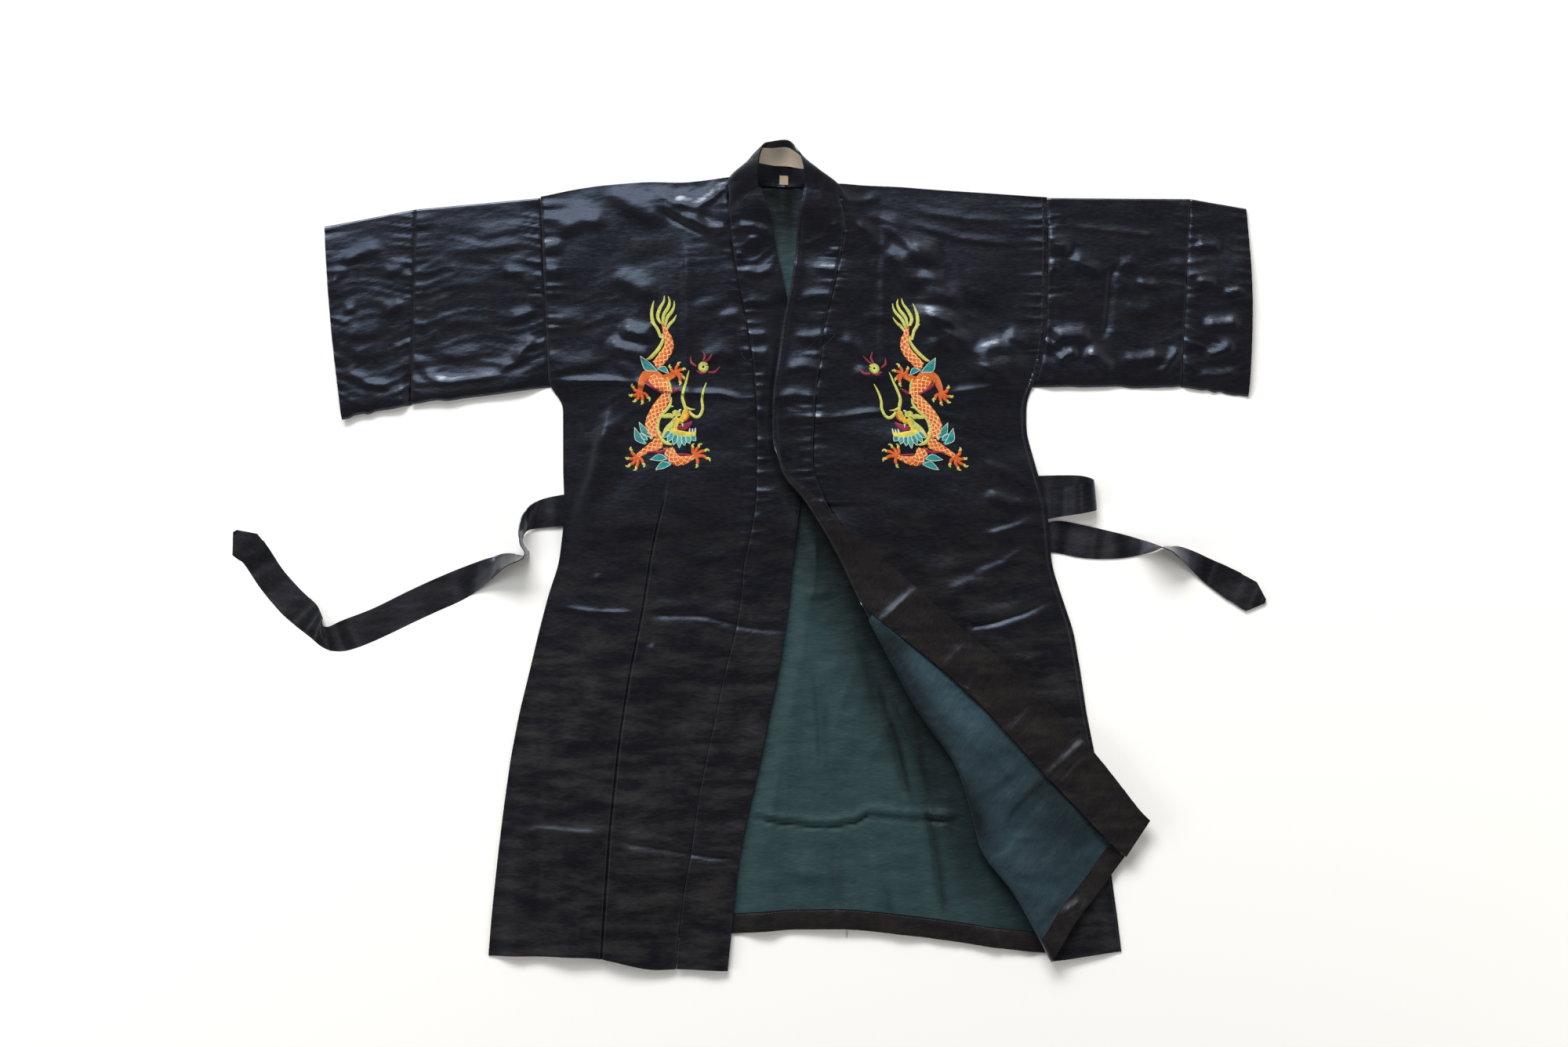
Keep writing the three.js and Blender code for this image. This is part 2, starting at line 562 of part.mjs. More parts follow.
function makeRightFrontLining() {
  const heights = SECTIONS.map((section) => section.y).filter((y) => y < -105 && y > -500);
  const rows = heights.map((y) => {
    const from = rowAt(y).rightSeam + SEAM_GAP;
    return foldedColumns(y, from, foldPlace(LINING_TUCK, y), TURNED_STEPS, 1).map((x) => [x, y]);
  });
  const tuck = foldPlace(LINING_TUCK, FACING_ROW);
  const foot = foldedColumns(FACING_ROW, 175 + SEAM_GAP, tuck, TURNED_STEPS, 1);
  rows.push(foot.map((x) => [x, along(HEM_RIGHT, "x", x, "y") + HEM_FACING_DEPTH + SEAM_GAP]));
  return foldedWall("right_front_lining", rows, SATIN_WALL / 2, LINING_IN, LINING_OUT, LINING);
}

function makeRightHemFacing() {
  const rows = [HEM_FACING_DEPTH, 0].map((depth) => {
    const y = HEM_HEIGHT + depth;
    const xs = foldedColumns(y, 178 + SEAM_GAP, foldPlace(LINING_TUCK, y), TURNED_STEPS, 1);
    return xs.map((x) => [x, along(HEM_RIGHT, "x", x, "y") + depth]);
  });
  return foldedWall("right_hem_facing", rows, SATIN_WALL / 2, LINING_IN, LINING_OUT, FACING);
}

// ---- sleeves -------------------------------------------------------------------------
const SLEEVE_ROWS = [250, 300, 350, 400, 440];

function seamPoint(seam, share) {
  return [0, 1].map((axis) => seam.low[axis] + (seam.high[axis] - seam.low[axis]) * share);
}

// A flattened tube between two seam lines. Each line gives the point at a share of its length.
function flatTube(name, nearLine, farLine, shares, stations, material) {
  const loopAt = (station, inset) => {
    const place = (share) => {
      const near = nearLine(share);
      const far = farLine(share);
      return [0, 1].map((axis) => near[axis] + (far[axis] - near[axis]) * station);
    };
    const width = place(1)[1] - place(0)[1];
    const rim = (inset * 1.5) / width;
    const inner = [SLEEVE_EDGE / width, ...shares, 1 - SLEEVE_EDGE / width];
    const low = [...place(rim), SLEEVE_HEIGHT / 2];
    const high = [...place(1 - rim), SLEEVE_HEIGHT / 2];
    const under = inner.map((share) => [...place(share), inset]);
    const over = [...inner].reverse().map((share) => [...place(share), SLEEVE_HEIGHT - inset]);
    return [low, ...under, high, ...over];
  };
  const at = spread(0, 1, stations);
  const outer = at.map((station) => loopAt(station, 0));
  const inner = at.map((station) => loopAt(station, SATIN_WALL));
  return tube(name, outer, inner, material);
}

function makeSleeves() {
  const low = 216;
  const high = 469.4;
  const shares = SLEEVE_ROWS.map((y) => (y - low) / (high - low));
  const armhole = (side, away) => (share) => {
    const y = low + (high - low) * share;
    const table = [{ y: high, left: -331, right: 347 }, ...SECTIONS];
    return [along(table, "y", y, side) + away, y];
  };
  const shifted = (seam, away) => (share) => {
    const [x, y] = seamPoint(seam, share);
    return [x + away, y];
  };
  const half = SEAM_GAP / 2;
  return [
    flatTube("left_sleeve", armhole("left", -2 * half), shifted(LEFT_SLEEVE_SEAM, half), shares, 4, SATIN),
    flatTube("left_sleeve_end", shifted(LEFT_SLEEVE_SEAM, -half), shifted(LEFT_CUFF, 0), shares, 3, SATIN),
    flatTube("right_sleeve", armhole("right", 2 * half), shifted(RIGHT_SLEEVE_SEAM, -half), shares, 4, SATIN),
    flatTube("right_sleeve_end", shifted(RIGHT_SLEEVE_SEAM, half), shifted(RIGHT_CUFF, 0), shares, 3, SATIN),
  ];
}

// ---- neck band, label and tag ----------------------------------------------------------
// A point of the neck band's middle surface: place counts sections, share runs seam to edge.
function neckPoint(place, share) {
  const first = Math.min(NECK_BAND.length - 2, Math.floor(place));
  const part = place - first;
  const across = (row) => [0, 1, 2].map((axis) => {
    const seam = row.seam[axis] * (1 - share) * (1 - 2 * share);
    const belly = row.belly[axis] * 4 * share * (1 - share);
    return seam + belly + row.edge[axis] * share * (2 * share - 1);
  });
  const from = across(NECK_BAND[first]);
  const to = across(NECK_BAND[first + 1]);
  return from.map((value, axis) => value + (to[axis] - value) * part);
}

function neckNormal(place, share) {
  const step = 0.05;
  const reach = NECK_BAND.length - 1;
  const ahead = new THREE.Vector3(...neckPoint(Math.min(reach, place + step * 8), share));
  const back = new THREE.Vector3(...neckPoint(Math.max(0, place - step * 8), share));
  const up = new THREE.Vector3(...neckPoint(place, Math.min(1, share + step)));
  const down = new THREE.Vector3(...neckPoint(place, Math.max(0, share - step)));
  return ahead.sub(back).cross(up.sub(down)).normalize();
}

function neckWall(name, sections, across, from, to, material) {
  const grid = (offset) => sections.map((place) => across.map((share) => {
    const point = neckPoint(place, share);
    const normal = neckNormal(place, share);
    return [point[0] + normal.x * offset, point[1] + normal.y * offset, point[2] + normal.z * offset];
  }));
  return wall(name, grid(to), grid(from), material);
}

function makeNeckPieces() {
  const half = BAND_WALL / 2;
  const all = NECK_BAND.map((_, n) => n);
  const skin = half + LABEL_GAP;
  return [
    neckWall("neck_band", all, NECK_ACROSS, -half, half, SATIN),
    neckWall("neck_label", LABEL.sections, LABEL.across, skin, skin + LABEL_WALL, LABEL_WEAVE),
    neckWall("size_tag", SIZE_TAG.sections, SIZE_TAG.across, skin, skin + LABEL_WALL, LABEL_WEAVE),
  ];
}

// ---- belt ----------------------------------------------------------------------------
// A strip through its sections. Its wall stands half to each side of the middle surface.
function beltStrip(name, sections) {
  const middle = sections.map(({ a, b }) => new THREE.Vector3(...a).add(new THREE.Vector3(...b)).divideScalar(2));
  const normals = sections.map(({ a, b }, n) => {
    const ahead = middle[Math.min(n + 1, middle.length - 1)].clone();
    const run = ahead.sub(middle[Math.max(n - 1, 0)]);
    const width = new THREE.Vector3(...b).sub(new THREE.Vector3(...a));
    return run.cross(width).normalize();
  });
  const grid = (offset) => sections.map(({ a, b }, n) => [0, 0.5, 1].map((share) => {
    const point = new THREE.Vector3(...a).lerp(new THREE.Vector3(...b), share);
    return point.addScaledVector(normals[n], offset).toArray();
  }));
  return wall(name, grid(BELT_WALL / 2), grid(-BELT_WALL / 2), SATIN);
}

// ---- the robe --------------------------------------------------------------------------
const robe = new THREE.Group();
robe.add(makeBackPanel());
robe.add(makeBackLining());
robe.add(makeBackHemFacing());
robe.add(makeLeftFront());
robe.add(makeLeftBand());
robe.add(makeRightFront());
robe.add(makeRightBand());
robe.add(makeRightFrontLining());
robe.add(makeRightHemFacing());
robe.add(...makeSleeves());
robe.add(...makeNeckPieces());
robe.add(beltStrip("belt_left", BELT_LEFT));
robe.add(beltStrip("belt_back", BELT_BACK));
robe.add(beltStrip("belt_right_loop", BELT_RIGHT_LOOP));
robe.add(beltStrip("belt_right_tail", BELT_RIGHT_TAIL));

export default robe;
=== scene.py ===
"""A satin kimono robe laid flat, face up: navy satin, teal lining, embroidered chest, loose belt.

Lengths in the tables are millimetres in the robe's own frame: +X across, +Y to the neck, +Z up.
"left" and "right" are the viewer's.
"""
import math

import bpy
import numpy as np
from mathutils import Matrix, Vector


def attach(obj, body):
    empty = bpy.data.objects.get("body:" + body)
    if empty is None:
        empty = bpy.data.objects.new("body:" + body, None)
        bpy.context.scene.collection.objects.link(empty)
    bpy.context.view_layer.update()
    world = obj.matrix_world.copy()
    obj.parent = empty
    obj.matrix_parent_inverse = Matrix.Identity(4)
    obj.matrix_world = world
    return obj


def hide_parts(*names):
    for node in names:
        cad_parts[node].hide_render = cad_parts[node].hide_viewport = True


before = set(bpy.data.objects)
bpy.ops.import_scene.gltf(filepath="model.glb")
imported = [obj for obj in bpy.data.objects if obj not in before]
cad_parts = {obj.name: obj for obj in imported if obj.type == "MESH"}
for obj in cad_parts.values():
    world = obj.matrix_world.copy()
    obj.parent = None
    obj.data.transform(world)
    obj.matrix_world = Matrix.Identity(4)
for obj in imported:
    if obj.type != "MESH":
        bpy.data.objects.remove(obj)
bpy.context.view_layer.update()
MM = 0.001

# ---------------------------------------------------------------------------
# Camera, light and floor
# ---------------------------------------------------------------------------
CAMERA_HEIGHT = 3.2  # metres, like all of this section
FIELD_WIDTH = 2.1
SENSOR = 36.0  # mm
CAMERA_OVER = (-0.00525, 0.0336)
FLOOR_HALF = 6.0
DAYLIGHT = (1.0, 0.99, 0.97)
BLUE_SKY = (0.78, 0.89, 1.0)
LIGHTS = [
    # name, place, target, size, watts, colour, shines
    ("window", (-1.3, 4.9, 3.25), (0, -0.2, 0), (4.2, 1.7), 450, DAYLIGHT, True),
    ("skylight", (-0.45, 1.6, 2.45), (-0.05, 0.2, 0), (1.8, 0.6), 14, BLUE_SKY, True),
    ("left_fill", (-3.4, -0.9, 1.5), (0, -0.2, 0), (1.4, 1.2), 44, (1.0, 0.98, 0.94), False),
    ("right_fill", (3.4, -0.9, 1.5), (0, -0.2, 0), (1.4, 1.2), 44, (1.0, 0.97, 0.92), False),
]


def look_at(thing, target):
    """Turns a light to face a point."""
    aim = Vector(target) - thing.location
    thing.rotation_euler = aim.to_track_quat("-Z", "Y").to_euler()


def new_object(name, data):
    """An object in the scene, at the origin."""
    obj = bpy.data.objects.new(name, data)
    bpy.context.collection.objects.link(obj)
    return obj


def make_camera():
    data = bpy.data.cameras.new("camera")
    data.sensor_width = SENSOR
    data.lens = SENSOR * CAMERA_HEIGHT / FIELD_WIDTH
    camera = new_object("camera", data)
    camera.location = (*CAMERA_OVER, CAMERA_HEIGHT)
    bpy.context.scene.camera = camera


def area_light(name, place, target, size, watts, colour, shines):
    """A soft box; one that doesn't shine only lights, and isn't seen in glossy cloth."""
    data = bpy.data.lights.new(name, "AREA")
    data.shape = "RECTANGLE"
    data.size, data.size_y = size
    data.energy = watts
    data.color = colour
    light = new_object(name, data)
    light.location = place
    light.visible_glossy = shines
    look_at(light, target)


def graded(tree, value, low, high, to_low, to_high):
    """A value carried evenly from one range to another."""
    node = tree.nodes.new("ShaderNodeMapRange")
    for label, number in (("From Min", low), ("From Max", high), ("To Min", to_low), ("To Max", to_high)):
        node.inputs[label].default_value = number
    tree.links.new(value, node.inputs["Value"])
    return node.outputs["Result"]


def make_world():
    """Warm light all around, dim overhead and beyond the hem, so that satin keeps its dark."""
    world = bpy.data.worlds.new("studio")
    bpy.context.scene.world = world
    world.use_nodes = True
    tree = world.node_tree
    background = tree.nodes["Background"]
    background.inputs["Color"].default_value = (1.0, 0.96, 0.88, 1)
    spot = tree.nodes.new("ShaderNodeTexCoord")
    split = tree.nodes.new("ShaderNodeSeparateXYZ")
    tree.links.new(spot.outputs["Generated"], split.inputs[0])
    overhead = graded(tree, split.outputs["Z"], 0.3, 0.95, 0.6, 0.03)
    near_foot = graded(tree, split.outputs["Y"], -0.9, 0.3, 0.35, 1.0)
    tree.links.new(product(tree, overhead, near_foot), background.inputs["Strength"])


def make_floor():
    mesh = bpy.data.meshes.new("floor")
    corners = [(FLOOR_HALF * x, FLOOR_HALF * y, 0) for x, y in ((-1, -1), (1, -1), (1, 1), (-1, 1))]
    mesh.from_pydata(corners, [], [(0, 1, 2, 3)])
    floor = new_object("floor", mesh)
    paper, _, shader = new_material("white_paper")
    shader.inputs["Base Color"].default_value = (0.955, 0.95, 0.94, 1)
    shader.inputs["Roughness"].default_value = 0.9
    shader.inputs["Specular IOR Level"].default_value = 0.1
    mesh.materials.append(paper)


# ---------------------------------------------------------------------------
# Materials
# ---------------------------------------------------------------------------
def new_group(name, inputs, outputs):
    group = bpy.data.node_groups.new(name, "ShaderNodeTree")
    for label, kind, value in inputs:
        item = group.interface.new_socket(label, in_out="INPUT", socket_type=kind)
        if value is not None:
            item.default_value = value
    for label, kind in outputs:
        group.interface.new_socket(label, in_out="OUTPUT", socket_type=kind)
    return group, group.nodes.new("NodeGroupInput"), group.nodes.new("NodeGroupOutput")


def scaled_noise(group, vector, scale, detail, roughness=0.5):
    """A noise stretched by a scale for each axis; returns its value socket."""
    mapping = group.nodes.new("ShaderNodeMapping")
    mapping.vector_type = "POINT"
    mapping.inputs["Scale"].default_value = scale
    group.links.new(vector, mapping.inputs["Vector"])
    texture = group.nodes.new("ShaderNodeTexNoise")
    texture.inputs["Scale"].default_value = 1.0
    texture.inputs["Detail"].default_value = detail
    texture.inputs["Roughness"].default_value = roughness
    group.links.new(mapping.outputs["Vector"], texture.inputs["Vector"])
    return texture.outputs["Fac"]


def math_node(group, operation, first, second):
    node = group.nodes.new("ShaderNodeMath")
    node.operation = operation
    for socket, value in zip(node.inputs, (first, second)):
        if isinstance(value, (int, float)):
            socket.default_value = value
        else:
            group.links.new(value, socket)
    return node.outputs[0]


def product(group, first, *others):
    for other in others:
        first = math_node(group, "MULTIPLY", first, other)
    return first


def summed(group, first, *others):
    for other in others:
        first = math_node(group, "ADD", first, other)
    return first


def eased_range(group, value, low, high, to_low, to_high):
    """A value carried from one range to another, slowing down at both ends."""
    result = graded(group, value, low, high, to_low, to_high)
    result.node.interpolation_type = "SMOOTHSTEP"
    return result


def mixed(group, share, first, second):
    node = group.nodes.new("ShaderNodeMix")
    node.data_type = "RGBA"
    group.links.new(share, node.inputs["Factor"])
    for socket, colour in ((node.inputs[6], first), (node.inputs[7], second)):
        if isinstance(colour, tuple):
            socket.default_value = colour
        else:
            group.links.new(colour, socket)
    return node.outputs[2]


ACROSS_FOLD = (0.882, 0.472)  # the direction square to the turned-back front's fold


def make_cloth_group():
    """Woven cloth: thread streaks along the weft, fine rumples, and painted light: soft patches of another
    tone (painted reflection on the satins, painted shade on the linings), painted shade inside the neck and
    beside the fold, and painted shade and painted light from a sheet's own shade attribute.
    """
    group, given, out = new_group(
        "woven cloth",
        [
            ("Vector", "NodeSocketVector", None),
            ("Place", "NodeSocketVector", None),
            ("Cloth Colour", "NodeSocketColor", (0.01, 0.011, 0.018, 1)),
            ("Painted Light Colour", "NodeSocketColor", (0.02, 0.017, 0.012, 1)),
            ("Painted Light Amount", "NodeSocketFloat", 0.5),
            ("Base Roughness", "NodeSocketFloat", 0.36),
            ("Rumple", "NodeSocketFloat", 1.0),
            ("Neck Shade", "NodeSocketFloat", 0.0),
            ("Fold Shade", "NodeSocketFloat", 0.0),
            ("Shade", "NodeSocketFloat", 1.0),
        ],
        [("Colour", "NodeSocketColor"), ("Roughness", "NodeSocketFloat"), ("Height", "NodeSocketFloat")],
    )
    vector, place = given.outputs["Vector"], given.outputs["Place"]
    streaks = scaled_noise(group, vector, (110, 520, 1), 2)
    patches = scaled_noise(group, place, (13, 44, 1), 5, 0.66)
    rumples = scaled_noise(group, vector, (24, 55, 1), 3, 0.5)
    weave = scaled_noise(group, vector, (1400, 1400, 1), 1)
    split = group.nodes.new("ShaderNodeSeparateXYZ")
    group.links.new(place, split.inputs[0])
    across, up = split.outputs["X"], split.outputs["Y"]
    # painted light: patches of another tone, fewer towards the neck; lighter painted reflection on the
    # satins, darker painted shade on the linings
    lower = eased_range(group, up, 0.16, -0.28, 0.25, 1.0)
    spots = eased_range(group, patches, 0.36, 0.74, 0.0, 1.0)
    amount = product(group, spots, lower, given.outputs["Painted Light Amount"])
    tone = mixed(group, amount, given.outputs["Cloth Colour"], given.outputs["Painted Light Colour"])
    # painted shade: darker down inside the neck, where the standing collar's shadow falls, and beside the
    # fold of the turned-back front, in the shadow of the lifted fold
    thread = eased_range(group, streaks, 0.3, 0.7, 0.92, 1.08)
    inside = product(group, eased_range(group, up, 0.375, 0.445, 0.0, 0.93), given.outputs["Neck Shade"])
    slanted = [product(group, socket, share) for socket, share in zip((across, up), ACROSS_FOLD)]
    from_fold = summed(group, *slanted)
    fold_shadow = product(
        group,
        eased_range(group, from_fold, -0.04, 0.045, 0.0, 0.9),
        eased_range(group, up, -0.36, -0.06, 0.6, 1.0),
        eased_range(group, up, 0.2, 0.1, 0.0, 1.0),
        given.outputs["Fold Shade"],
    )
    # painted shade: the thread tone is darkened by the neck and fold shade, then scaled by the sheet's own
    # painted shade and painted light
    for shadow in (inside, fold_shadow):
        thread = product(group, thread, math_node(group, "SUBTRACT", 1.0, shadow))
    thread = product(group, thread, given.outputs["Shade"])
    shade = group.nodes.new("ShaderNodeVectorMath")
    shade.operation = "SCALE"
    group.links.new(tone, shade.inputs[0])
    group.links.new(thread, shade.inputs["Scale"])
    group.links.new(shade.outputs[0], out.inputs["Colour"])
    uneven = eased_range(group, streaks, 0.3, 0.7, -0.03, 0.05)
    rough = summed(group, given.outputs["Base Roughness"], uneven, product(group, amount, 0.08))
    group.links.new(rough, out.inputs["Roughness"])
    fine = product(group, rumples, given.outputs["Rumple"])
    fine = summed(group, fine, product(group, streaks, 0.05), product(group, weave, 0.02))
    group.links.new(fine, out.inputs["Height"])
    return group


CLOTH = make_cloth_group()


def new_material(name):
    material = bpy.data.materials.new(name)
    material.use_nodes = True
    return material, material.node_tree, material.node_tree.nodes["Principled BSDF"]


def add_bump(tree, shader, height, depth):
    """Raises a surface by a height socket; depth is in metres."""
    bump = tree.nodes.new("ShaderNodeBump")
    bump.inputs["Distance"].default_value = depth
    tree.links.new(height, bump.inputs["Height"])
    tree.links.new(bump.outputs["Normal"], shader.inputs["Normal"])


def own_noise(tree, vector, scale):
    texture = tree.nodes.new("ShaderNodeTexNoise")
    texture.inputs["Scale"].default_value = scale
    tree.links.new(vector, texture.inputs["Vector"])
    return texture.outputs["Fac"]


def cloth_material(name, colour, patch, amount, roughness, rumple, height, tint, sheen, level):
    """A cloth finish. height is the depth in metres of the fine rumples."""
    material, tree, shader = new_material(name)
    group = tree.nodes.new("ShaderNodeGroup")
    group.node_tree = CLOTH
    uv = tree.nodes.new("ShaderNodeUVMap")
    uv.uv_map = "cut"
    spot = tree.nodes.new("ShaderNodeTexCoord")
    tree.links.new(uv.outputs["UV"], group.inputs["Vector"])
    tree.links.new(spot.outputs["Object"], group.inputs["Place"])
    group.inputs["Cloth Colour"].default_value = (*colour, 1)
    # painted light: the patch colour and how much of it shows
    group.inputs["Painted Light Colour"].default_value = (*patch, 1)
    group.inputs["Painted Light Amount"].default_value = amount
    group.inputs["Base Roughness"].default_value = roughness
    group.inputs["Rumple"].default_value = rumple
    add_bump(tree, shader, group.outputs["Height"], height)
    tree.links.new(group.outputs["Colour"], shader.inputs["Base Color"])
    tree.links.new(group.outputs["Roughness"], shader.inputs["Roughness"])
    shader.inputs["Specular Tint"].default_value = (*tint, 1)
    shader.inputs["Specular IOR Level"].default_value = level
    shader.inputs["Sheen Weight"].default_value = sheen
    shader.inputs["Sheen Roughness"].default_value = 0.4
    shader.inputs["Sheen Tint"].default_value = (*tint, 1)
    return material


BLUISH = (0.68, 0.79, 1.0)
GREENISH = (0.8, 0.95, 1.0)
# the second colour of each finish is its painted light: lighter painted reflection on the satins, darker
# painted shade on the linings
SATIN = cloth_material(
    "navy_satin", (0.0062, 0.0060, 0.0090), (0.0262, 0.0236, 0.0232), amount=1.0, roughness=0.25,
    rumple=1.0, height=0.0008, tint=BLUISH, sheen=0.02, level=0.78,
)
# painted sheen: the belt's satin is a lighter copy of the robe's navy satin, its lighter colours standing
# in for the belt's sheen
SHEEN_PAINTED_BELT_SATIN = cloth_material(
    "navy_belt_satin_painted_sheen", (0.0118, 0.0116, 0.0156), (0.038, 0.036, 0.039), amount=1.0, roughness=0.25,
    rumple=1.0, height=0.0010, tint=BLUISH, sheen=0.02, level=0.78,
)
FACING = cloth_material(
    "brown_black_satin", (0.0095, 0.0083, 0.0092), (0.026, 0.020, 0.0175), amount=0.6, roughness=0.27,
    rumple=1.0, height=0.0009, tint=(0.82, 0.87, 1.0), sheen=0.02, level=0.72,
)
LINING = cloth_material(
    "teal_lining", (0.0172, 0.0345, 0.0455), (0.0095, 0.020, 0.028), amount=1.0, roughness=0.52,
    rumple=0.8, height=0.0022, tint=GREENISH, sheen=0.08, level=0.4,
)
LINING_BACK = cloth_material(
    "teal_lining_deep", (0.0225, 0.047, 0.052), (0.0145, 0.031, 0.035), amount=0.9, roughness=0.55,
    rumple=0.8, height=0.0022, tint=GREENISH, sheen=0.06, level=0.35,
)
SHADE_LIMITS = (0.12, 2.6)
LABEL_WEAVE = 2600  # lumps to a metre
THREAD_TWIST = 700


def read_shade(material):
    """Lets a sheet's own shade attribute darken or lighten its colour."""
    tree = material.node_tree
    shade = tree.nodes.new("ShaderNodeAttribute")
    shade.attribute_name = "shade"
    # painted shade and painted light: the sheet's own shade attribute scales its cloth colour
    tree.links.new(shade.outputs["Fac"], tree.nodes["Group"].inputs["Shade"])


# the linings take painted shade from their shade attribute, the belt painted light and shade across its
# wrinkles
for shaded in (LINING, LINING_BACK, SHEEN_PAINTED_BELT_SATIN):
    read_shade(shaded)
# painted shade on the back lining: inside the neck, and beside the fold of the turned-back front
for shadow_name in ("Neck Shade", "Fold Shade"):
    LINING_BACK.node_tree.nodes["Group"].inputs[shadow_name].default_value = 1.0


def make_label_material(name, dark, light):
    """A bare woven label."""
    material, tree, shader = new_material(name)
    uv = tree.nodes.new("ShaderNodeUVMap")
    uv.uv_map = "cut"
    weave = own_noise(tree, uv.outputs["UV"], LABEL_WEAVE)
    tone = tree.nodes.new("ShaderNodeValToRGB")
    tone.color_ramp.elements[0].color = (*dark, 1)
    tone.color_ramp.elements[1].color = (*light, 1)
    tree.links.new(weave, tone.inputs["Fac"])
    tree.links.new(tone.outputs["Color"], shader.inputs["Base Color"])
    shader.inputs["Roughness"].default_value = 0.7
    add_bump(tree, shader, weave, 0.00012)
    return material


def make_thread_material(name, roughness, colour=None):
    """Embroidery or sewing thread; without a colour it takes the thread's own one."""
    material, tree, shader = new_material(name)
    shader.inputs["Roughness"].default_value = roughness
    shader.inputs["Sheen Weight"].default_value = 0.15
    spot = tree.nodes.new("ShaderNodeTexCoord")
    add_bump(tree, shader, own_noise(tree, spot.outputs["Object"], THREAD_TWIST), 0.0003)
    if colour:
        shader.inputs["Base Color"].default_value = (*colour, 1)
    else:
        own = tree.nodes.new("ShaderNodeAttribute")
        own.attribute_name = "thread_colour"
        tree.links.new(own.outputs["Color"], shader.inputs["Base Color"])
    return material


make_camera()
bpy.context.scene.view_settings.view_transform = "Standard"
for row in LIGHTS:
    area_light(*row)
make_world()
make_floor()
LABEL = make_label_material("cream_label", (0.44, 0.36, 0.28), (0.72, 0.62, 0.51))
# painted shade: the size tag takes a darker copy of the label finish, for the shadow down inside the neck
SHADED_TAG = make_label_material("cream_tag_painted_shade", (0.3, 0.22, 0.15), (0.42, 0.33, 0.23))
THREAD = make_thread_material("embroidery_thread", 0.34)
SEWING = make_thread_material("sewing_thread", 0.4, (0.02, 0.022, 0.03))
LABEL_SEWING = make_thread_material("label_sewing_thread", 0.5, (0.5, 0.44, 0.33))


# ---------------------------------------------------------------------------
# The robe's outlines: one row for each height across the body
# ---------------------------------------------------------------------------
BODY_COLUMNS = ("y", "left", "left_seam", "left_edge", "right_edge", "right_seam", "right")
BODY = [
    (-570, -402, -150, -81, 120, 179, 449),
    (-545, -401, -148, -78.5, 118, 177, 447),
    (-495, -397, -143.5, -73.5, 101, 167, 441),
    (-460, -393.5, -139.5, -70.5, 89.5, 158.5, 436),
    (-400, -387, -128.5, -63.5, 73, 145.5, 428.5),
    (-340, -379.5, -121, -50, 61.5, 131, 420),
    (-280, -371, -109, -36.5, 51.5, 116.5, 411.5),
    (-220, -359.5, -96, -24.5, 47, 106.5, 399.5),
    (-165, -346, -84.5, -13, 39.5, 101.5, 391.5),
    (-110, -333, -70, -4, 31.5, 97.5, 382),
    (-60, -320, -62, 3, 26, 93, 365),
    (-22, -307, -59.5, 6, 22.5, 85, 353),
    (26, -300.7, -48.5, 11.5, 16.5, 69, 349),
    (63, -299, -43, 17, 4, 49, 345.5),
    (100, -300.6, -42.3, 17.5, -8, 40.5, 334),
    (155, -301, -41.5, 18, -21, 35, 319),
    (198, -301, -42.5, 15.5, -20.5, 36.5, 319),
    (215, -320, -44, 14.5, -19, 38.5, 326.5),
    (250, -321.5, -47, 12.5, -14, 43, 340),
    (300, -323.7, -54.5, 5, -7, 49, 346),
    (350, -325.8, -65, -4, 3.5, 61.5, 346.8),
    (400, -328, -74, -15.5, 11, 72, 347.6),
    (440, -329.7, -78, -21.5, 13, 78, 347.3),
    (451, -330.2, -79, -24, 15, 75, 347),
    (468, -331, -83, -31, 19, 68.5, 347),
    (484, -331, -79, -39, 22, 67, 347),
    (500, -331, -74, -42, 24, 67, 347),
]
FRONT_TOP_LEFT = [(-331, 470), (-299, 478), (-257, 485), (-184, 491), (-142, 489), (-74, 497)]
FRONT_TOP_RIGHT = [(67, 487), (150, 484), (199, 480), (262, 476), (347, 470)]
BACK_TOP = [*FRONT_TOP_LEFT, (-40, 491), (0, 488), (40, 488), *FRONT_TOP_RIGHT]
HEM_LEFT = [
    (-401, -545), (-320, -545), (-253, -547), (-215, -556), (-183, -564), (-149, -562), (-80, -565),
]
HEM_RIGHT = [(119, -557), (180, -557), (240, -554), (282, -549), (354, -552), (447, -539)]
HEM_BACK = [
    (-397, -528), (-76, -515), (2, -509), (83, -508), (147, -515), (211, -523), (275, -533),
    (343, -541), (447, -539),
]
HEM_FACING_DEPTH = 26
BODY_TABLE = np.array(BODY, dtype=float)
HEM_FOOT = -552
FACING_TOP = HEM_FOOT + HEM_FACING_DEPTH


def soft_step(low, high, value):
    share = np.clip((value - low) / (high - low), 0, 1)
    return share * share * (3 - 2 * share)


def bell(gap, reach):
    """1 where the gap is 0, dying away over a reach."""
    return np.exp(-((gap / reach) ** 2))


def eased(keys, values, at, reach):
    """A table's value at a place, with its corners rounded over a reach."""
    taps = ((-1.5, 1), (-0.75, 2), (0, 2.5), (0.75, 2), (1.5, 1))
    parts = [weight * np.interp(at + offset * reach, keys, values) for offset, weight in taps]
    return sum(parts) / sum(weight for _, weight in taps)


def body(column, y, reach=9):
    return eased(BODY_TABLE[:, 0], BODY_TABLE[:, BODY_COLUMNS.index(column)], np.asarray(y, float), reach)


def line(points, x, reach=12):
    keys, values = zip(*points)
    return eased(keys, values, np.asarray(x, float), reach)


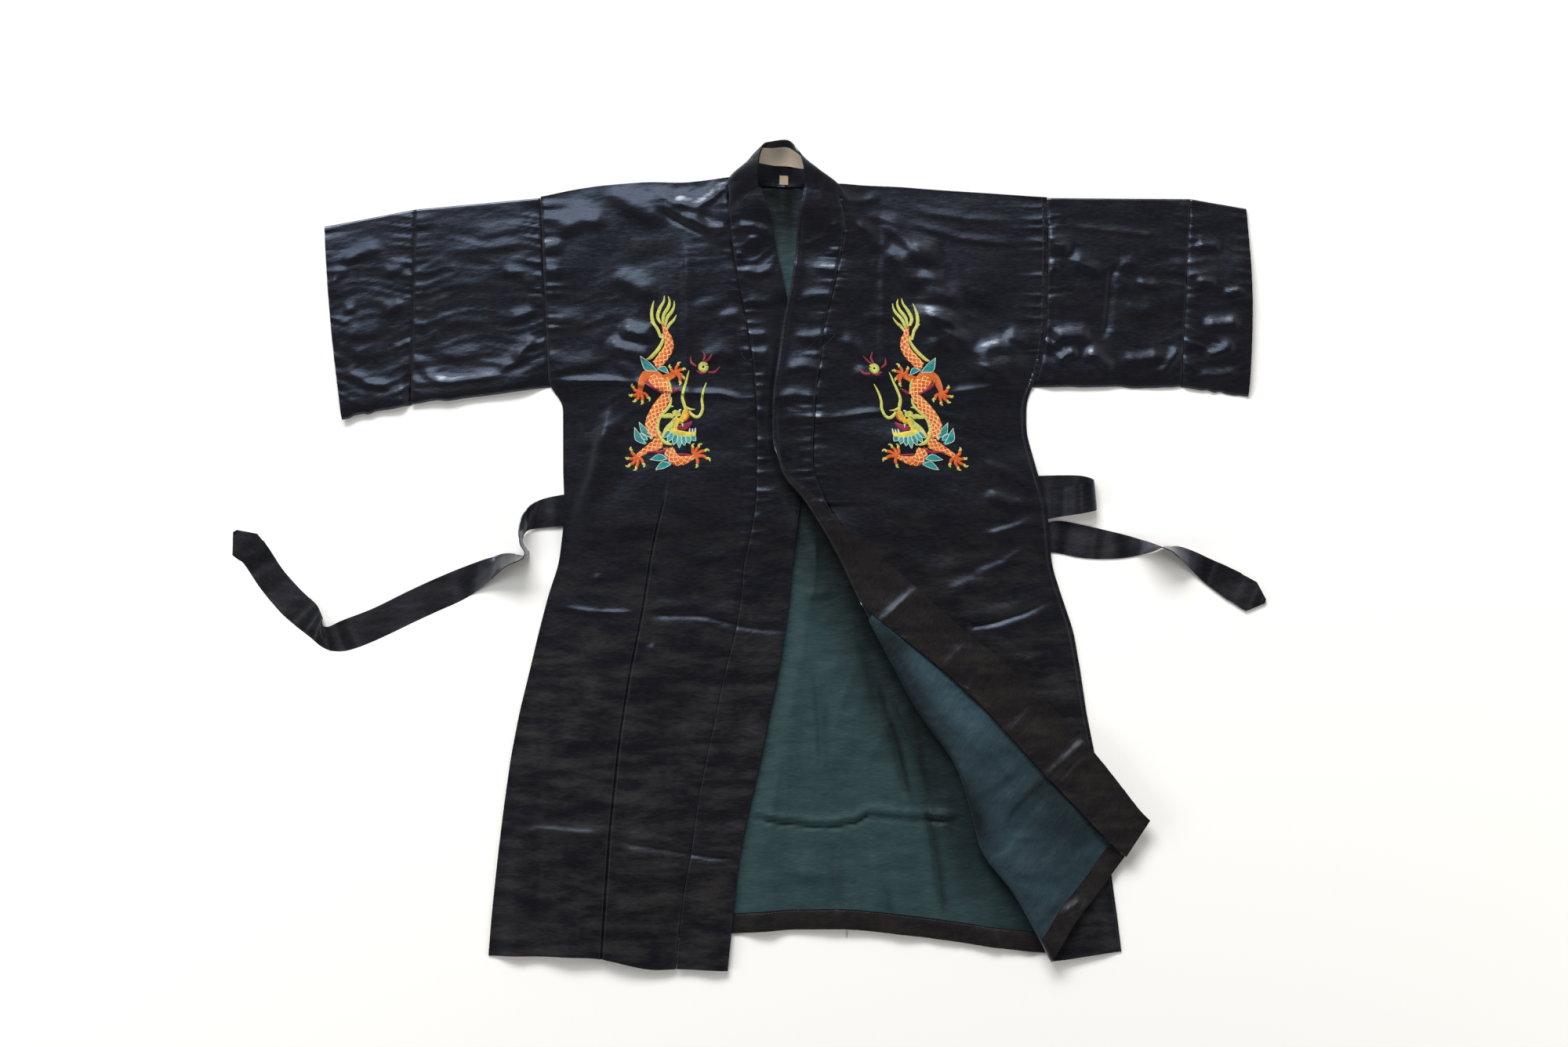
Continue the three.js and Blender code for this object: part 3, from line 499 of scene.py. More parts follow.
# ---------------------------------------------------------------------------
# Uneven cloth: seeded noise and listed creases
# ---------------------------------------------------------------------------
def lattice(ix, iy, seed):
    mixed_bits = (ix * 374761393 + iy * 668265263 + seed * 1442695041) & 0xFFFFFFFF
    mixed_bits = ((mixed_bits ^ (mixed_bits >> 13)) * 1274126177) & 0xFFFFFFFF
    mixed_bits = mixed_bits ^ (mixed_bits >> 16)
    return (mixed_bits & 0xFFFF) / 32767.5 - 1.0


def noise(x, y, wide, tall, seed):
    """Smooth noise from -1 to 1 whose lumps are wide by tall."""
    u, v = x / wide, y / tall
    iu, iv = np.floor(u).astype(np.int64), np.floor(v).astype(np.int64)
    fu, fv = u - iu, v - iv
    fu = fu**3 * (fu * (fu * 6 - 15) + 10)
    fv = fv**3 * (fv * (fv * 6 - 15) + 10)
    low = lattice(iu, iv, seed) * (1 - fu) + lattice(iu + 1, iv, seed) * fu
    high = lattice(iu, iv + 1, seed) * (1 - fu) + lattice(iu + 1, iv + 1, seed) * fu
    return low * (1 - fv) + high * fv


def ripples(x, y, wide, tall, seed):
    """Drawn-out soft ridges, from 0 to 1, that wander across the cloth."""
    drift = noise(x, y, wide * 1.3, tall * 6, seed + 7) * tall * 1.2
    lumps = noise(x, y + drift, wide, tall, seed)
    return (1 - np.abs(lumps)) ** 2


def crease(x, y, path, width, height, lean=0.3, fade=0.3, groove=0.0):
    """A soft ridge, or a trough where height is below 0, along a path. lean makes one side steeper,
    fade is the share of its length over which each end dies away, and groove is the depth of a
    sharp line beside it, on its right."""
    points = np.array(path, dtype=float)
    runs = np.hypot(*np.diff(points, axis=0).T)
    starts = np.concatenate([[0], np.cumsum(runs)])
    best = np.full(x.shape, 1e9)
    side = np.zeros(x.shape)
    run_at = np.zeros(x.shape)
    for n, length in enumerate(runs):
        (ax, ay), (bx, by) = points[n], points[n + 1]
        ux, uy = (bx - ax) / length, (by - ay) / length
        share = np.clip((x - ax) * ux + (y - ay) * uy, 0, length)
        dx, dy = x - ax - ux * share, y - ay - uy * share
        gap = np.hypot(dx, dy)
        closer = gap < best
        best = np.where(closer, gap, best)
        side = np.where(closer, np.sign(ux * dy - uy * dx), side)
        run_at = np.where(closer, starts[n] + share, run_at)
    reach = width * (1 + lean * side)
    along = run_at / starts[-1]
    ends = soft_step(0, fade, along) * soft_step(0, fade, 1 - along)
    beside = bell(side * best + 1.15 * width, 0.32 * width + 0.6)
    return ends * (height * bell(best, reach) - groove * beside)


def creases(x, y, rows):
    return sum(crease(x, y, *row) for row in rows)


BELT_LIFT = 1.9
NECK_LIFT = 14
NECK_SIDE = 42


def belt_hump(y):
    """How far the belt under the back raises the layers over it."""
    return BELT_LIFT * soft_step(-15, 34, y) * (1 - soft_step(96, 150, y))


def neck_lift(x, y):
    """The fronts rise beside the neck, towards the standing neck band."""
    return NECK_LIFT * soft_step(385, 470, y) * bell(np.maximum(np.abs(x) - NECK_SIDE, 0), NECK_SIDE)


def shoulder_fade(x, y, top):
    """Takes the lift away along the shoulder line, except right beside the neck."""
    return 1 - soft_step(-26, -2, y - top) * soft_step(84, 112, np.abs(x))


def right_tuck(x, y):
    """The further lift at the right side, over the belt's two passes."""
    near = 1 - soft_step(10, 44, body("right", y) - x)
    return BELT_LIFT * near * soft_step(-40, -8, y) * (1 - soft_step(98, 140, y))


# ---------------------------------------------------------------------------
# Meshes
# ---------------------------------------------------------------------------
def add_mesh(name, verts, faces, uvs, material, smooth=True):
    """A mesh object from points in millimetres, with its cut in metres as the UV map."""
    mesh = bpy.data.meshes.new(name)
    mesh.from_pydata((np.asarray(verts) * MM).tolist(), [], faces)
    layer = mesh.uv_layers.new(name="cut")
    order = np.empty(len(mesh.loops), dtype=np.int64)
    mesh.loops.foreach_get("vertex_index", order)
    layer.uv.foreach_set("vector", (np.asarray(uvs)[order] * MM).astype(np.float32).ravel())
    mesh.polygons.foreach_set("use_smooth", [smooth] * len(mesh.polygons))
    mesh.materials.append(material)
    mesh.update()
    crisp_border(mesh)
    return new_object(name, mesh)


def crisp_border(mesh):
    """Keeps the cut edges of a cloth crisp, so its face isn't shaded into its thickness."""
    used = np.empty(len(mesh.loops), dtype=np.int64)
    mesh.loops.foreach_get("edge_index", used)
    sharp = mesh.attributes.new("sharp_edge", "BOOLEAN", "EDGE")
    sharp.data.foreach_set("value", np.bincount(used, minlength=len(mesh.edges)) == 1)


def grid_faces(rows, columns, closed=False):
    faces = []
    across = columns if closed else columns - 1
    for i in range(rows - 1):
        base = i * columns
        for j in range(across):
            right = base + (j + 1) % columns
            faces.append((base + j, right, right + columns, base + j + columns))
    return faces


def cloth_sheet(name, x, y, z, u, v, material, thick, nodes, slot, flat,
                held="laid", rests=(), area=None, shade=None):
    """A sheet of cloth over a grid of points, given its thickness below the visible face."""
    rows, columns = x.shape
    verts = np.stack([x, y, z], axis=-1).reshape(-1, 3)
    uvs = np.stack([u, v], axis=-1).reshape(-1, 2)
    obj = add_mesh(name, verts, grid_faces(rows, columns), uvs, material)
    if shade is not None:
        layer = obj.data.attributes.new("shade", "FLOAT", "POINT")
        layer.data.foreach_set("value", np.clip(shade, *SHADE_LIMITS).astype(np.float32).ravel())
    shell(obj, thick)
    finish_cloth(obj, nodes)
    return obj


def shell(obj, thick):
    wall = obj.modifiers.new("thickness", "SOLIDIFY")
    wall.thickness = thick * MM
    wall.offset = -1.0


def finish_cloth(obj, nodes):
    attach(obj, "root")
    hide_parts(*nodes)


EDGE_LINES = np.array([0.7, 1.6])
LINES_BESIDE = np.array([-4, -2.6, -1.6, -0.8, 0, 0.8, 1.6, 2.6, 4])


def edged(count, width):
    """Shares across a width, with extra lines close to both edges so that seams stay fine."""
    close = EDGE_LINES / width
    inner = np.linspace(0, 1, count)
    inner = inner[(inner > close[-1] * 1.4) & (inner < 1 - close[-1] * 1.4)]
    return np.concatenate([[0], close, inner, 1 - close[::-1], [1]])


def sheet_grid(left, right, foot, top, pitch_x, pitch_y, through=None):
    """Points of a panel between two side curves x(y) and two end curves y(x); one column, with
    close neighbours, keeps to the curve through."""
    heights = np.linspace(-500, 400, 7)
    width = float(np.max(right(heights) - left(heights)))
    centre = np.zeros(1)
    span = float(top(centre)[0] - foot(centre)[0])
    across = edged(max(3, int(width / pitch_x)), width)
    if through:
        across = np.sort(np.concatenate([across, 0.5 + LINES_BESIDE / width]))
    u, v = np.meshgrid(across, np.linspace(0, 1, max(3, int(span / pitch_y))))
    y = foot(0 * u) + (top(0 * u) - foot(0 * u)) * v
    for _ in range(4):
        if through:
            middle = through(y)
            before = left(y) + (middle - left(y)) * 2 * u
            after = middle + (right(y) - middle) * (2 * u - 1)
            x = np.where(u < 0.5, before, after)
        else:
            x = left(y) + (right(y) - left(y)) * u
        y = foot(x) + (top(x) - foot(x)) * v
    return x, y


PITCH = 4.2
PITCH_ALONG = 2.3

# ---------------------------------------------------------------------------
# Creases listed as (path, width, height, lean, fade, groove); crease has the usual
# values of the last three
# ---------------------------------------------------------------------------
LEFT_CREASES = [
    # packing creases across
    ([(-335, 222), (-239, 223), (-203, 220), (-131, 206), (-91, 206), (-50, 194)],
     4.5, 2.6, 0.5, 0.12),
    ([(-125, 455), (-100, 468), (-80, 488)], 6, 2.2, 0.4, 0.3),
    ([(-345, -73), (-301, -80), (-266, -86), (-200, -87)], 3.6, 1.9, 0.5, 0.12),
    ([(-190, -78), (-150, -78), (-110, -79), (-66, -91), (-47, -95), (4, -99)], 9, 1.4, 0.0, 0.16),
    ([(-190, -88), (-150, -88), (-110, -89), (-66, -101), (-47, -105), (4, -109)], 4.4, -2.6, -0.3, 0.12),
    ([(-370, -386), (-332, -376), (-298, -379), (-271, -381), (-244, -383)], 4.2, 2.6, 0.5, 0.16),
    ([(-233, -377), (-210, -387), (-191, -389), (-153, -396), (-102, -404), (-66, -406)],
     9, 1.4, 0.0, 0.12),
    ([(-233, -385), (-210, -394), (-191, -396), (-153, -403), (-102, -411), (-66, -413)],
     4.6, -3.3, -0.3, 0.12),
    # packing creases down
    ([(-136, 430), (-137, 330), (-136, 230), (-138, 105)], 6, 1.8, 0.5, 0.2),
    ([(-313, -120), (-322, -275), (-329, -535)], 6, 1.2, 0.4, 0.2),
    ([(-160, -400), (-156, -480), (-150, -560)], 6, 1.0, 0.4, 0.2),
    # diagonal fold of the left side
    ([(-232, 200), (-250, 150), (-262, 96), (-294, 21), (-313, -26), (-332, -73)], 13, 5.6, 0.55, 0.2),
    # pockets beside the long fold
    ([(-149, -210), (-153, -275), (-144, -327)], 12, -2.4),
    ([(-188, -129), (-172, -144)], 6, 2.8),
    ([(-264, -41), (-247, -40)], 5, 1.8),
    # puckers drawn from the neck seam
    ([(-143, 449), (-110, 431), (-78, 426)], 9, 2.4, -0.4, 0.2),
    ([(-152, 470), (-132, 455), (-112, 440)], 9, 2.0, 0.3, 0.25),
    ([(-185, 480), (-150, 462), (-100, 452)], 9, 2.0, 0.3, 0.25),
    # sheen folds of the chest and shoulder
    ([(-247, 484), (-205, 456), (-160, 433)], 15, 3.4),
    ([(-176, 466), (-152, 449), (-101, 424)], 8, 3.0, 0.55, 0.25, 1.4),
    ([(-330, 230), (-285, 244), (-240, 250)], 10, 2.0),
    ([(-226, 294), (-202, 286), (-178, 280)], 10, 5.0, 0.3, 0.25),
    ([(-120, 250), (-90, 262), (-64, 250)], 10, 2.6),
    ([(-310, 420), (-275, 438), (-240, 436)], 12, 3.4, 0.3, 0.25),
    ([(-336, 398), (-318, 404), (-298, 402)], 10, 2.6, 0.3, 0.25),
    ([(-338, 366), (-322, 370), (-302, 366)], 9, 2.2, 0.3, 0.25),
    ([(-236, 366), (-205, 352), (-180, 330)], 12, 3.0),
    ([(-246, 272), (-218, 264), (-176, 256)], 10, 5.0, 0.3, 0.25),
    ([(-315, 300), (-290, 306), (-262, 296)], 8, 1.2),
    ([(-230, 262), (-215, 240), (-190, 214), (-160, 200)], 9, 2.6),
    ([(-95, 300), (-75, 312), (-60, 306)], 7, 2.0),
    ([(-300, 150), (-262, 140), (-225, 150)], 10, 1.5, 0.2, 0.3),
    ([(-150, 0), (-110, -14), (-75, -8)], 9, 1.6, 0.2, 0.3),
    ([(-350, -250), (-300, -262), (-262, -250)], 10, 1.3, 0.2, 0.3),
    # across the band, where it bends at the chest
    ([(-73, 430), (-48, 428), (-20, 420)], 5, 3.4, 0.4, 0.2),
    ([(-56, 414), (-44, 413), (-34, 411)], 4, 2.2),
    ([(-72, 391), (-64, 393), (-56, 392)], 4, 2.0),
    ([(-70, 288), (-45, 281), (-18, 286)], 8, 1.9),
    ([(-66, 264), (-40, 257), (-14, 263)], 8, 1.7),
    ([(-66, 372), (-40, 366), (-14, 372)], 6, 1.8),
    ([(-60, 335), (-34, 328), (-8, 332)], 6, 1.6),
]
VALLEY = [
    # y, x of the long fold down the left front
    (86, -161), (0, -182), (-82, -194), (-165, -211), (-253, -225), (-379, -238), (-526, -248),
    (-575, -250),
]
RIGHT_CREASES = [
    ([(0, 168), (40, 172), (79, 176), (110, 181), (142, 180)], 4.2, 2.3, 0.5, 0.2),
    ([(210, 206), (280, 216), (330, 220)], 4.5, 2.4, 0.5, 0.2),
    ([(236, -94), (271, -88), (315, -74), (342, -62), (374, -54)], 10, 2.2, 0.0, 0.12),
    ([(236, -104), (271, -99), (315, -85), (342, -72), (376, -64)], 4.6, -4.0, -0.3, 0.08),
    ([(128, 452), (126, 360), (124, 280), (126, 190)], 5, 1.6, 0.5, 0.2),
    # sheen folds of the chest
    ([(170, 336), (205, 338), (240, 328)], 13, 4.4),
    ([(118, 444), (160, 408), (204, 366)], 11, 3.6),
    ([(88, 440), (108, 420), (125, 392)], 7, 2.8),
    ([(66, 282), (92, 268), (112, 248)], 9, 2.6),
    ([(160, 326), (212, 288), (262, 246), (314, 212)], 21, 5.0, 0.5, 0.2),
    ([(248, 260), (282, 270), (318, 263)], 13, 4.6, -0.1, 0.3),
    ([(232, 230), (282, 246), (334, 243)], 13, 4.6, -0.1, 0.3),
    ([(176, 300), (206, 309), (238, 300)], 15, 4.0, 0.1, 0.3),
    ([(180, 268), (214, 282), (246, 280)], 10, 3.4, -0.1, 0.3),
    ([(146, 384), (176, 398), (208, 396)], 13, 3.2, 0.0, 0.3),
    ([(150, 352), (184, 362), (214, 356)], 11, 3.4, -0.1, 0.3),
    ([(176, 318), (202, 308), (226, 296)], 8, 1.8, 0.3, 0.25),
    ([(196, 298), (224, 286), (250, 272)], 8, 2.0, 0.3, 0.25),
    ([(214, 276), (246, 262), (276, 248)], 8, 2.2, 0.3, 0.25),
    ([(228, 252), (264, 240), (300, 226)], 8, 2.2, 0.3, 0.25),
    ([(262, 230), (292, 218), (322, 208)], 8, 2.0, 0.3, 0.25),
    ([(288, 286), (306, 280), (324, 272)], 9, 3.4),
    ([(296, 186), (314, 176), (330, 168)], 8, 3.0),
    ([(150, 438), (230, 414), (320, 404)], 5, 1.2, 0.4, 0.25),
    ([(160, 452), (240, 440), (310, 436)], 5, 1.1),
    ([(128, 404), (150, 380), (168, 352)], 10, 3.4),
    ([(100, 448), (130, 440), (160, 430)], 6, 1.4),
    ([(90, 300), (120, 310), (160, 300)], 9, 1.6),
    # across the band, where it bends at the chest
    ([(12, 401), (34, 409), (64, 422)], 4, 1.8, 0.3, 0.2),
    ([(50, 426), (62, 429), (76, 433)], 5, 2.2, 0.3, 0.25),
    ([(56, 391), (64, 395), (74, 400)], 5, 2.0),
    ([(36, 378), (58, 370), (74, 374)], 6, 2.4),
    ([(64, 481), (81, 464), (99, 463), (125, 470)], 5, 1.8, 0.3, 0.2),
    ([(-22, 198), (10, 205), (46, 199)], 8, 3.4, 0.3, 0.25),
    ([(-14, 172), (20, 179), (60, 173)], 8, 2.0, 0.3, 0.25),
    ([(84, 238), (104, 231), (124, 223)], 9, 3.2),
    ([(14, 330), (40, 338), (70, 330)], 7, 2.4),
    ([(6, 285), (34, 280), (62, 290)], 7, 2.2),
    ([(-6, 236), (22, 244), (54, 236)], 7, 2.4),
    # folds that fan out from the belt
    ([(345, 60), (300, 60), (262, 78)], 9, 3.2, 0.3, 0.2),
    ([(345, 52), (310, 30), (255, 14)], 8, 3.2, 0.3, 0.25),
    ([(343, 72), (300, 100), (250, 120)], 8, 2.2),
    ([(330, 10), (290, -20), (240, -40)], 9, 2.4),
    ([(285, -44), (240, -48), (204, -64)], 13, 3.4, 0.2, 0.3),
    ([(120, 60), (170, 40), (215, 50)], 10, 1.6),
    ([(150, -10), (200, -30), (240, -22)], 9, 1.8),
    ([(360, -140), (320, -150), (290, -140)], 9, 1.8),
    ([(385, -190), (350, -200), (322, -190)], 9, 1.4),
    ([(400, -470), (420, -500), (425, -530)], 9, 2.0),
]
LINING_CREASES = [
    ([(-56, -350), (-14, -360), (50, -367), (90, -360), (107, -350), (171, -357), (233, -357)],
     5, 1.6, 0.2, 0.06, 3.4),
    ([(178, -302), (195, -367), (203, -435), (211, -487)], 6, 1.2, 0.3, 0.2, 3.0),
    ([(118, -173), (128, -209), (147, -267), (165, -342)], 5, 1.4, 0.2, 0.2, 3.6),
    ([(140, -190), (165, -250), (190, -320)], 5, 1.0, 0.2, 0.25, 3.0),
    ([(40, -160), (48, -240), (52, -310)], 6, 0.8, 0.2, 0.3, 2.2),
    ([(70, -390), (66, -440), (72, -500)], 6, 0.8, 0.2, 0.3, 2.0),
    ([(96, -120), (112, -180), (128, -240)], 8, -2.4, 0.3, 0.25),
    ([(146, -225), (172, -300), (205, -370)], 12, -2.6, 0.3, 0.25),
    ([(4, -60), (40, -62), (60, -58)], 6, 1.4, 0.3, 0.25),
    ([(20, -20), (8, -160), (-10, -300), (-40, -440)], 14, 1.6, 0.3, 0.25),
    ([(60, -90), (70, -220), (62, -330)], 14, 1.4),
    ([(30, -400), (20, -450), (26, -500)], 12, 1.6),
    ([(110, -400), (120, -450), (112, -500)], 12, 1.4),
    ([(-30, -420), (40, -440), (110, -428)], 10, 1.2),
    ([(-10, 470), (-4, 430), (-2, 380)], 7, 1.2),
]
TURNED_CREASES = [
    # highlights across the turned band
    ([(118, -104), (177, -51)], 5.5, 2.8, 0.3, 0.2),
    ([(205, -165), (236, -128)], 6, 1.8),
    ([(236, -196), (268, -160)], 6, 1.8),
    ([(290, -250), (330, -214)], 6, 1.8),
    ([(340, -310), (398, -256)], 7, 3.6, 0.0, 0.2),
    ([(354, -324), (404, -272)], 5, 2.2, 0.0, 0.25),
    ([(410, -372), (452, -338)], 7, 2.0, 0.3, 0.25),
    # the turned lining's own folds
    ([(216, -285), (240, -346), (262, -400)], 14, 2.6, 0.3, 0.2),
    ([(268, -414), (298, -393), (330, -345), (352, -314)], 8, -1.6, 0.3, 0.25),
    ([(258, -395), (284, -352), (316, -316)], 17, 1.8),
    ([(236, -330), (270, -318), (310, -286)], 12, 2.4, 0.4, 0.3),
    ([(300, -440), (335, -425), (372, -424)], 13, 1.8, 0.4, 0.3),
    ([(356, -498), (372, -484), (392, -470), (398, -455)], 6, 2.4, 0.3, 0.25),
    ([(366, -491), (385, -480), (396, -470)], 6, 2.6, 0.3, 0.25),
    ([(150, -140), (200, -215), (245, -270)], 10, 1.4),
    ([(250, -250), (290, -300), (330, -345)], 10, 1.4),
    ([(300, -420), (340, -440), (380, -430)], 9, 1.6),
    ([(330, -500), (352, -478), (370, -460)], 8, 1.8),
]
# Painted shade on the linings, where they lie in the shadow of the roll and of their folds, and painted
# light where depth is below 0, as (path, width, depth, lean, fade)
TURNED_SHADES = [
    ([(120, -90), (158, -180), (186, -250), (214, -312), (240, -356), (266, -404)], 22, 0.74, 0.0, 0.12),
    ([(212, -300), (232, -336), (262, -380)], 24, 0.4, 0.0, 0.3),
    ([(150, -120), (200, -178), (240, -226), (272, -268)], 20, -0.6, 0.0, 0.2),
    ([(330, -300), (362, -344), (398, -404)], 34, 0.52, 0.0, 0.1),
    ([(345, -303), (324, -325), (300, -350), (284, -384)], 4, 0.5, 0.0, 0.2),
    ([(300, -350), (290, -380), (300, -410)], 16, -0.35, 0.0, 0.3),
    ([(300, -440), (330, -452), (366, -470)], 18, -0.2, 0.0, 0.3),
]
BACK_SHADES = [
    ([(160, -190), (172, -240), (182, -300), (190, -362)], 6, 0.45, 0.0, 0.2),
    ([(186, -345), (195, -385), (203, -435), (209, -490)], 6, 0.6, 0.0, 0.1),
    ([(118, -165), (128, -205), (147, -262), (165, -338)], 4, 0.8, 0.0, 0.15),
    ([(96, -118), (110, -180), (126, -240), (152, -300)], 9, 0.28, 0.0, 0.2),
    ([(150, -200), (182, -270), (212, -340), (232, -410), (262, -480)], 24, 0.42, 0.0, 0.2),
    ([(40, -160), (48, -240), (52, -310)], 6, 0.22, 0.0, 0.3),
    ([(70, -390), (66, -440), (72, -500)], 6, 0.22, 0.0, 0.3),
    ([(-56, -356), (-14, -366), (50, -373), (90, -366), (107, -356), (171, -363), (233, -363)],
     3.4, 0.35, 0.0, 0.06),
    ([(130, -440), (136, -480), (140, -505)], 6, 0.3, 0.0, 0.3),
]
SLEEVE_CREASES = [
    # left sleeve
    ([(-415, 446), (-385, 452), (-350, 459)], 8, 1.6),
    ([(-420, 418), (-385, 424), (-346, 432)], 9, 2.6),
    ([(-450, 400), (-400, 402), (-350, 410)], 8, 1.8),
    ([(-385, 372), (-360, 366), (-338, 350)], 7, 2.2),
    ([(-470, 356), (-420, 352), (-380, 358)], 9, 1.4),
    ([(-375, 306), (-352, 312), (-335, 321)], 7, 2.6),
    ([(-480, 300), (-430, 306), (-390, 298)], 9, 1.3),
    ([(-368, 252), (-350, 268), (-335, 285)], 7, 3.0),
    ([(-392, 236), (-360, 252), (-338, 262)], 8, 2.4),
    ([(-480, 262), (-440, 256), (-405, 262)], 9, 1.4),
    ([(-493, 236), (-475, 228), (-455, 216)], 6, 2.4),
    ([(-508, 219), (-450, 222), (-373, 232)], 5, 2.4, 0.4, 0.2),
    # left sleeve end
    ([(-600, 380), (-571, 396), (-538, 404)], 9, 3.2, 0.3, 0.25),
    ([(-614, 354), (-600, 366), (-586, 374)], 7, 2.6),
    ([(-594, 317), (-584, 319), (-575, 319)], 5, 2.4),
    ([(-542, 313), (-526, 322), (-511, 329)], 7, 2.6),
    ([(-544, 366), (-528, 372), (-510, 376)], 7, 2.0),
    ([(-600, 290), (-570, 284), (-540, 290)], 8, 1.6),
    ([(-594, 239), (-562, 220), (-527, 214)], 6, 2.8, 0.3, 0.25),
    ([(-590, 262), (-560, 258), (-530, 266)], 8, 1.4),
    # right sleeve
    ([(340, 424), (360, 406), (378, 396)], 11, 4.2, 0.3, 0.25),
    ([(376, 390), (398, 378), (422, 366)], 9, 3.2),
    ([(342, 366), (352, 372), (364, 380)], 7, 2.4),
    ([(380, 430), (439, 424), (502, 416)], 4, 1.5, 0.4, 0.2),
    ([(450, 389), (432, 368), (425, 295), (415, 277)], 6, -2.2, 0.3, 0.2),
    ([(436, 372), (450, 380), (470, 384)], 7, 1.8),
    ([(464, 356), (482, 352), (500, 351)], 5, 2.2, 0.4, 0.3),
    ([(352, 279), (380, 284), (408, 284)], 10, 4.2, 0.3, 0.25),
    ([(359, 247), (374, 258), (390, 262)], 7, 3.4, 0.3, 0.25),
    ([(394, 260), (412, 256), (434, 234)], 8, 3.8, 0.3, 0.25),
    ([(439, 250), (475, 252), (512, 258)], 8, 2.6),
    ([(494, 226), (510, 246), (528, 270)], 7, 3.0, 0.3, 0.25),
    ([(440, 322), (470, 316), (500, 322)], 9, 1.4),
    # right sleeve end
    ([(544, 405), (562, 404), (580, 401)], 8, 2.8, 0.3, 0.25),
    ([(586, 436), (596, 441), (606, 445)], 6, 2.0),
    ([(544, 356), (558, 356), (574, 352)], 6, 2.4),
    ([(580, 338), (596, 342), (612, 344)], 5, 2.2),
    ([(552, 297), (580, 298), (608, 300)], 8, 3.2, 0.3, 0.25),
    ([(556, 252), (578, 262), (600, 271)], 8, 3.0, 0.3, 0.25),
    ([(544, 228), (574, 230), (608, 234)], 6, 2.4, 0.3, 0.25),
]


def satin_relief(x, y):
    """The soft unevenness of laid satin, drawn out across the robe; never below 0."""
    # livelier above the waist, and in patches
    lively = 0.3 + 0.7 * soft_step(-180, 200, y)
    patch = np.clip(0.35 + 1.3 * noise(x, y, 110, 80, 31), 0, 1) * lively
    # places that wander, so that no lump follows the cloth's own directions
    bent_x = x + 30 * noise(x, y, 90, 80, 41)
    bent_y = y + 0.35 * np.abs(x) + 20 * noise(x, y, 90, 60, 43)
    broad = 1.9 * (1 + noise(bent_x, bent_y, 120, 62, 5)) + 0.7 * (1 + noise(x, bent_y, 62, 34, 9))
    # calmer along the shoulders
    calm = 1 - 0.45 * soft_step(370, 445, y) - 0.35 * soft_step(350, 420, y) * soft_step(90, 170, x)
    wisps = 0.75 * ripples(bent_x, bent_y, 58, 19, 3) + 0.4 * ripples(bent_x, bent_y, 30, 10, 8)
    # long soft waves up and down below the waist
    hang = 1.3 * (1 + noise(x, y, 34, 260, 12)) * soft_step(60, -260, y)
    return calm * (broad * (0.4 + 0.6 * lively) + wisps * (0.1 + 0.9 * patch)) + hang


def puckers(gap, run, seed, reach=16, pitch=13, height=1.1):
    """Short ridges that stand across a seam and die away from it."""
    ridge = ripples(run, gap * 0.4, pitch, 400, seed)
    return height * ridge * bell(gap, reach)


def seam_dip(gap, depth=0.9, reach=1.5):
    """The rounding down of cloth into a sewn line."""
    return depth * bell(gap, reach)


# ---------------------------------------------------------------------------
# Heights of the layers' visible faces
# ---------------------------------------------------------------------------
BACK_FACE = 1.15
LINING_FACE = 2.1
FRONT_FACE = 4.3
SIDE_FACE = 2.1
ARMHOLE_FACE = 4.3
LEAST_FACE = 1.9
TOP_FALL = 1.9
LEFT_BAND_HEIGHT = 5.0
RIGHT_BAND_HEIGHT = 7.6
SATIN_THICK = 0.7
BAND_THICK = 1.5
LINING_THICK = 0.5
BAND_WIDTH = 66
ARMHOLE_LOW = 204  # y where the side seam ends
ARMHOLE_PUCKERS = dict(reach=26, pitch=15, height=2.0)


def side_rise(offset, y):
    """From the sewn side seam, or the open armhole, in to the front's own height."""
    start = SIDE_FACE + (ARMHOLE_FACE - SIDE_FACE) * soft_step(ARMHOLE_LOW, 222, y)
    return start + (FRONT_FACE - start) * (1 - bell(offset, 20))


def settled(offset, armhole):
    """How much of its relief the cloth has near its side: little at the sewn seam, most at the
    armhole."""
    return (1 - bell(offset, 34)) * (1 - armhole) + armhole * (1 - 0.2 * bell(offset, 5))


def top_fall(y, top):
    """The face goes down to the back along the shoulder line."""
    return TOP_FALL * bell(top - y, 24)


def valley_place(y):
    keys = [-row[0] for row in VALLEY]
    places = [row[1] for row in VALLEY]
    return sum(np.interp(-y + step, keys, places) for step in (-24, -12, 0, 12, 24)) / 5


def long_fold(x, y):
    """Two lobes with a slot between them down the left front, and a third nearer the hem."""
    past = x - valley_place(y)
    slot = bell(past, 1.6)
    lobes = bell(past + 34, 36) + 0.8 * bell(past - 30, 34)
    groove = 1 - 0.4 * slot - 0.12 * bell(past, 30)
    outer_lobe = 0.6 * bell(past + 122, 26) * soft_step(-200, -540, y)
    fall = 0.3 * soft_step(150, 60, y) + 0.7 * soft_step(60, -520, y)
    return fall * 7.0 * (lobes * groove + outer_lobe), 2.4 * slot * soft_step(100, 40, y)


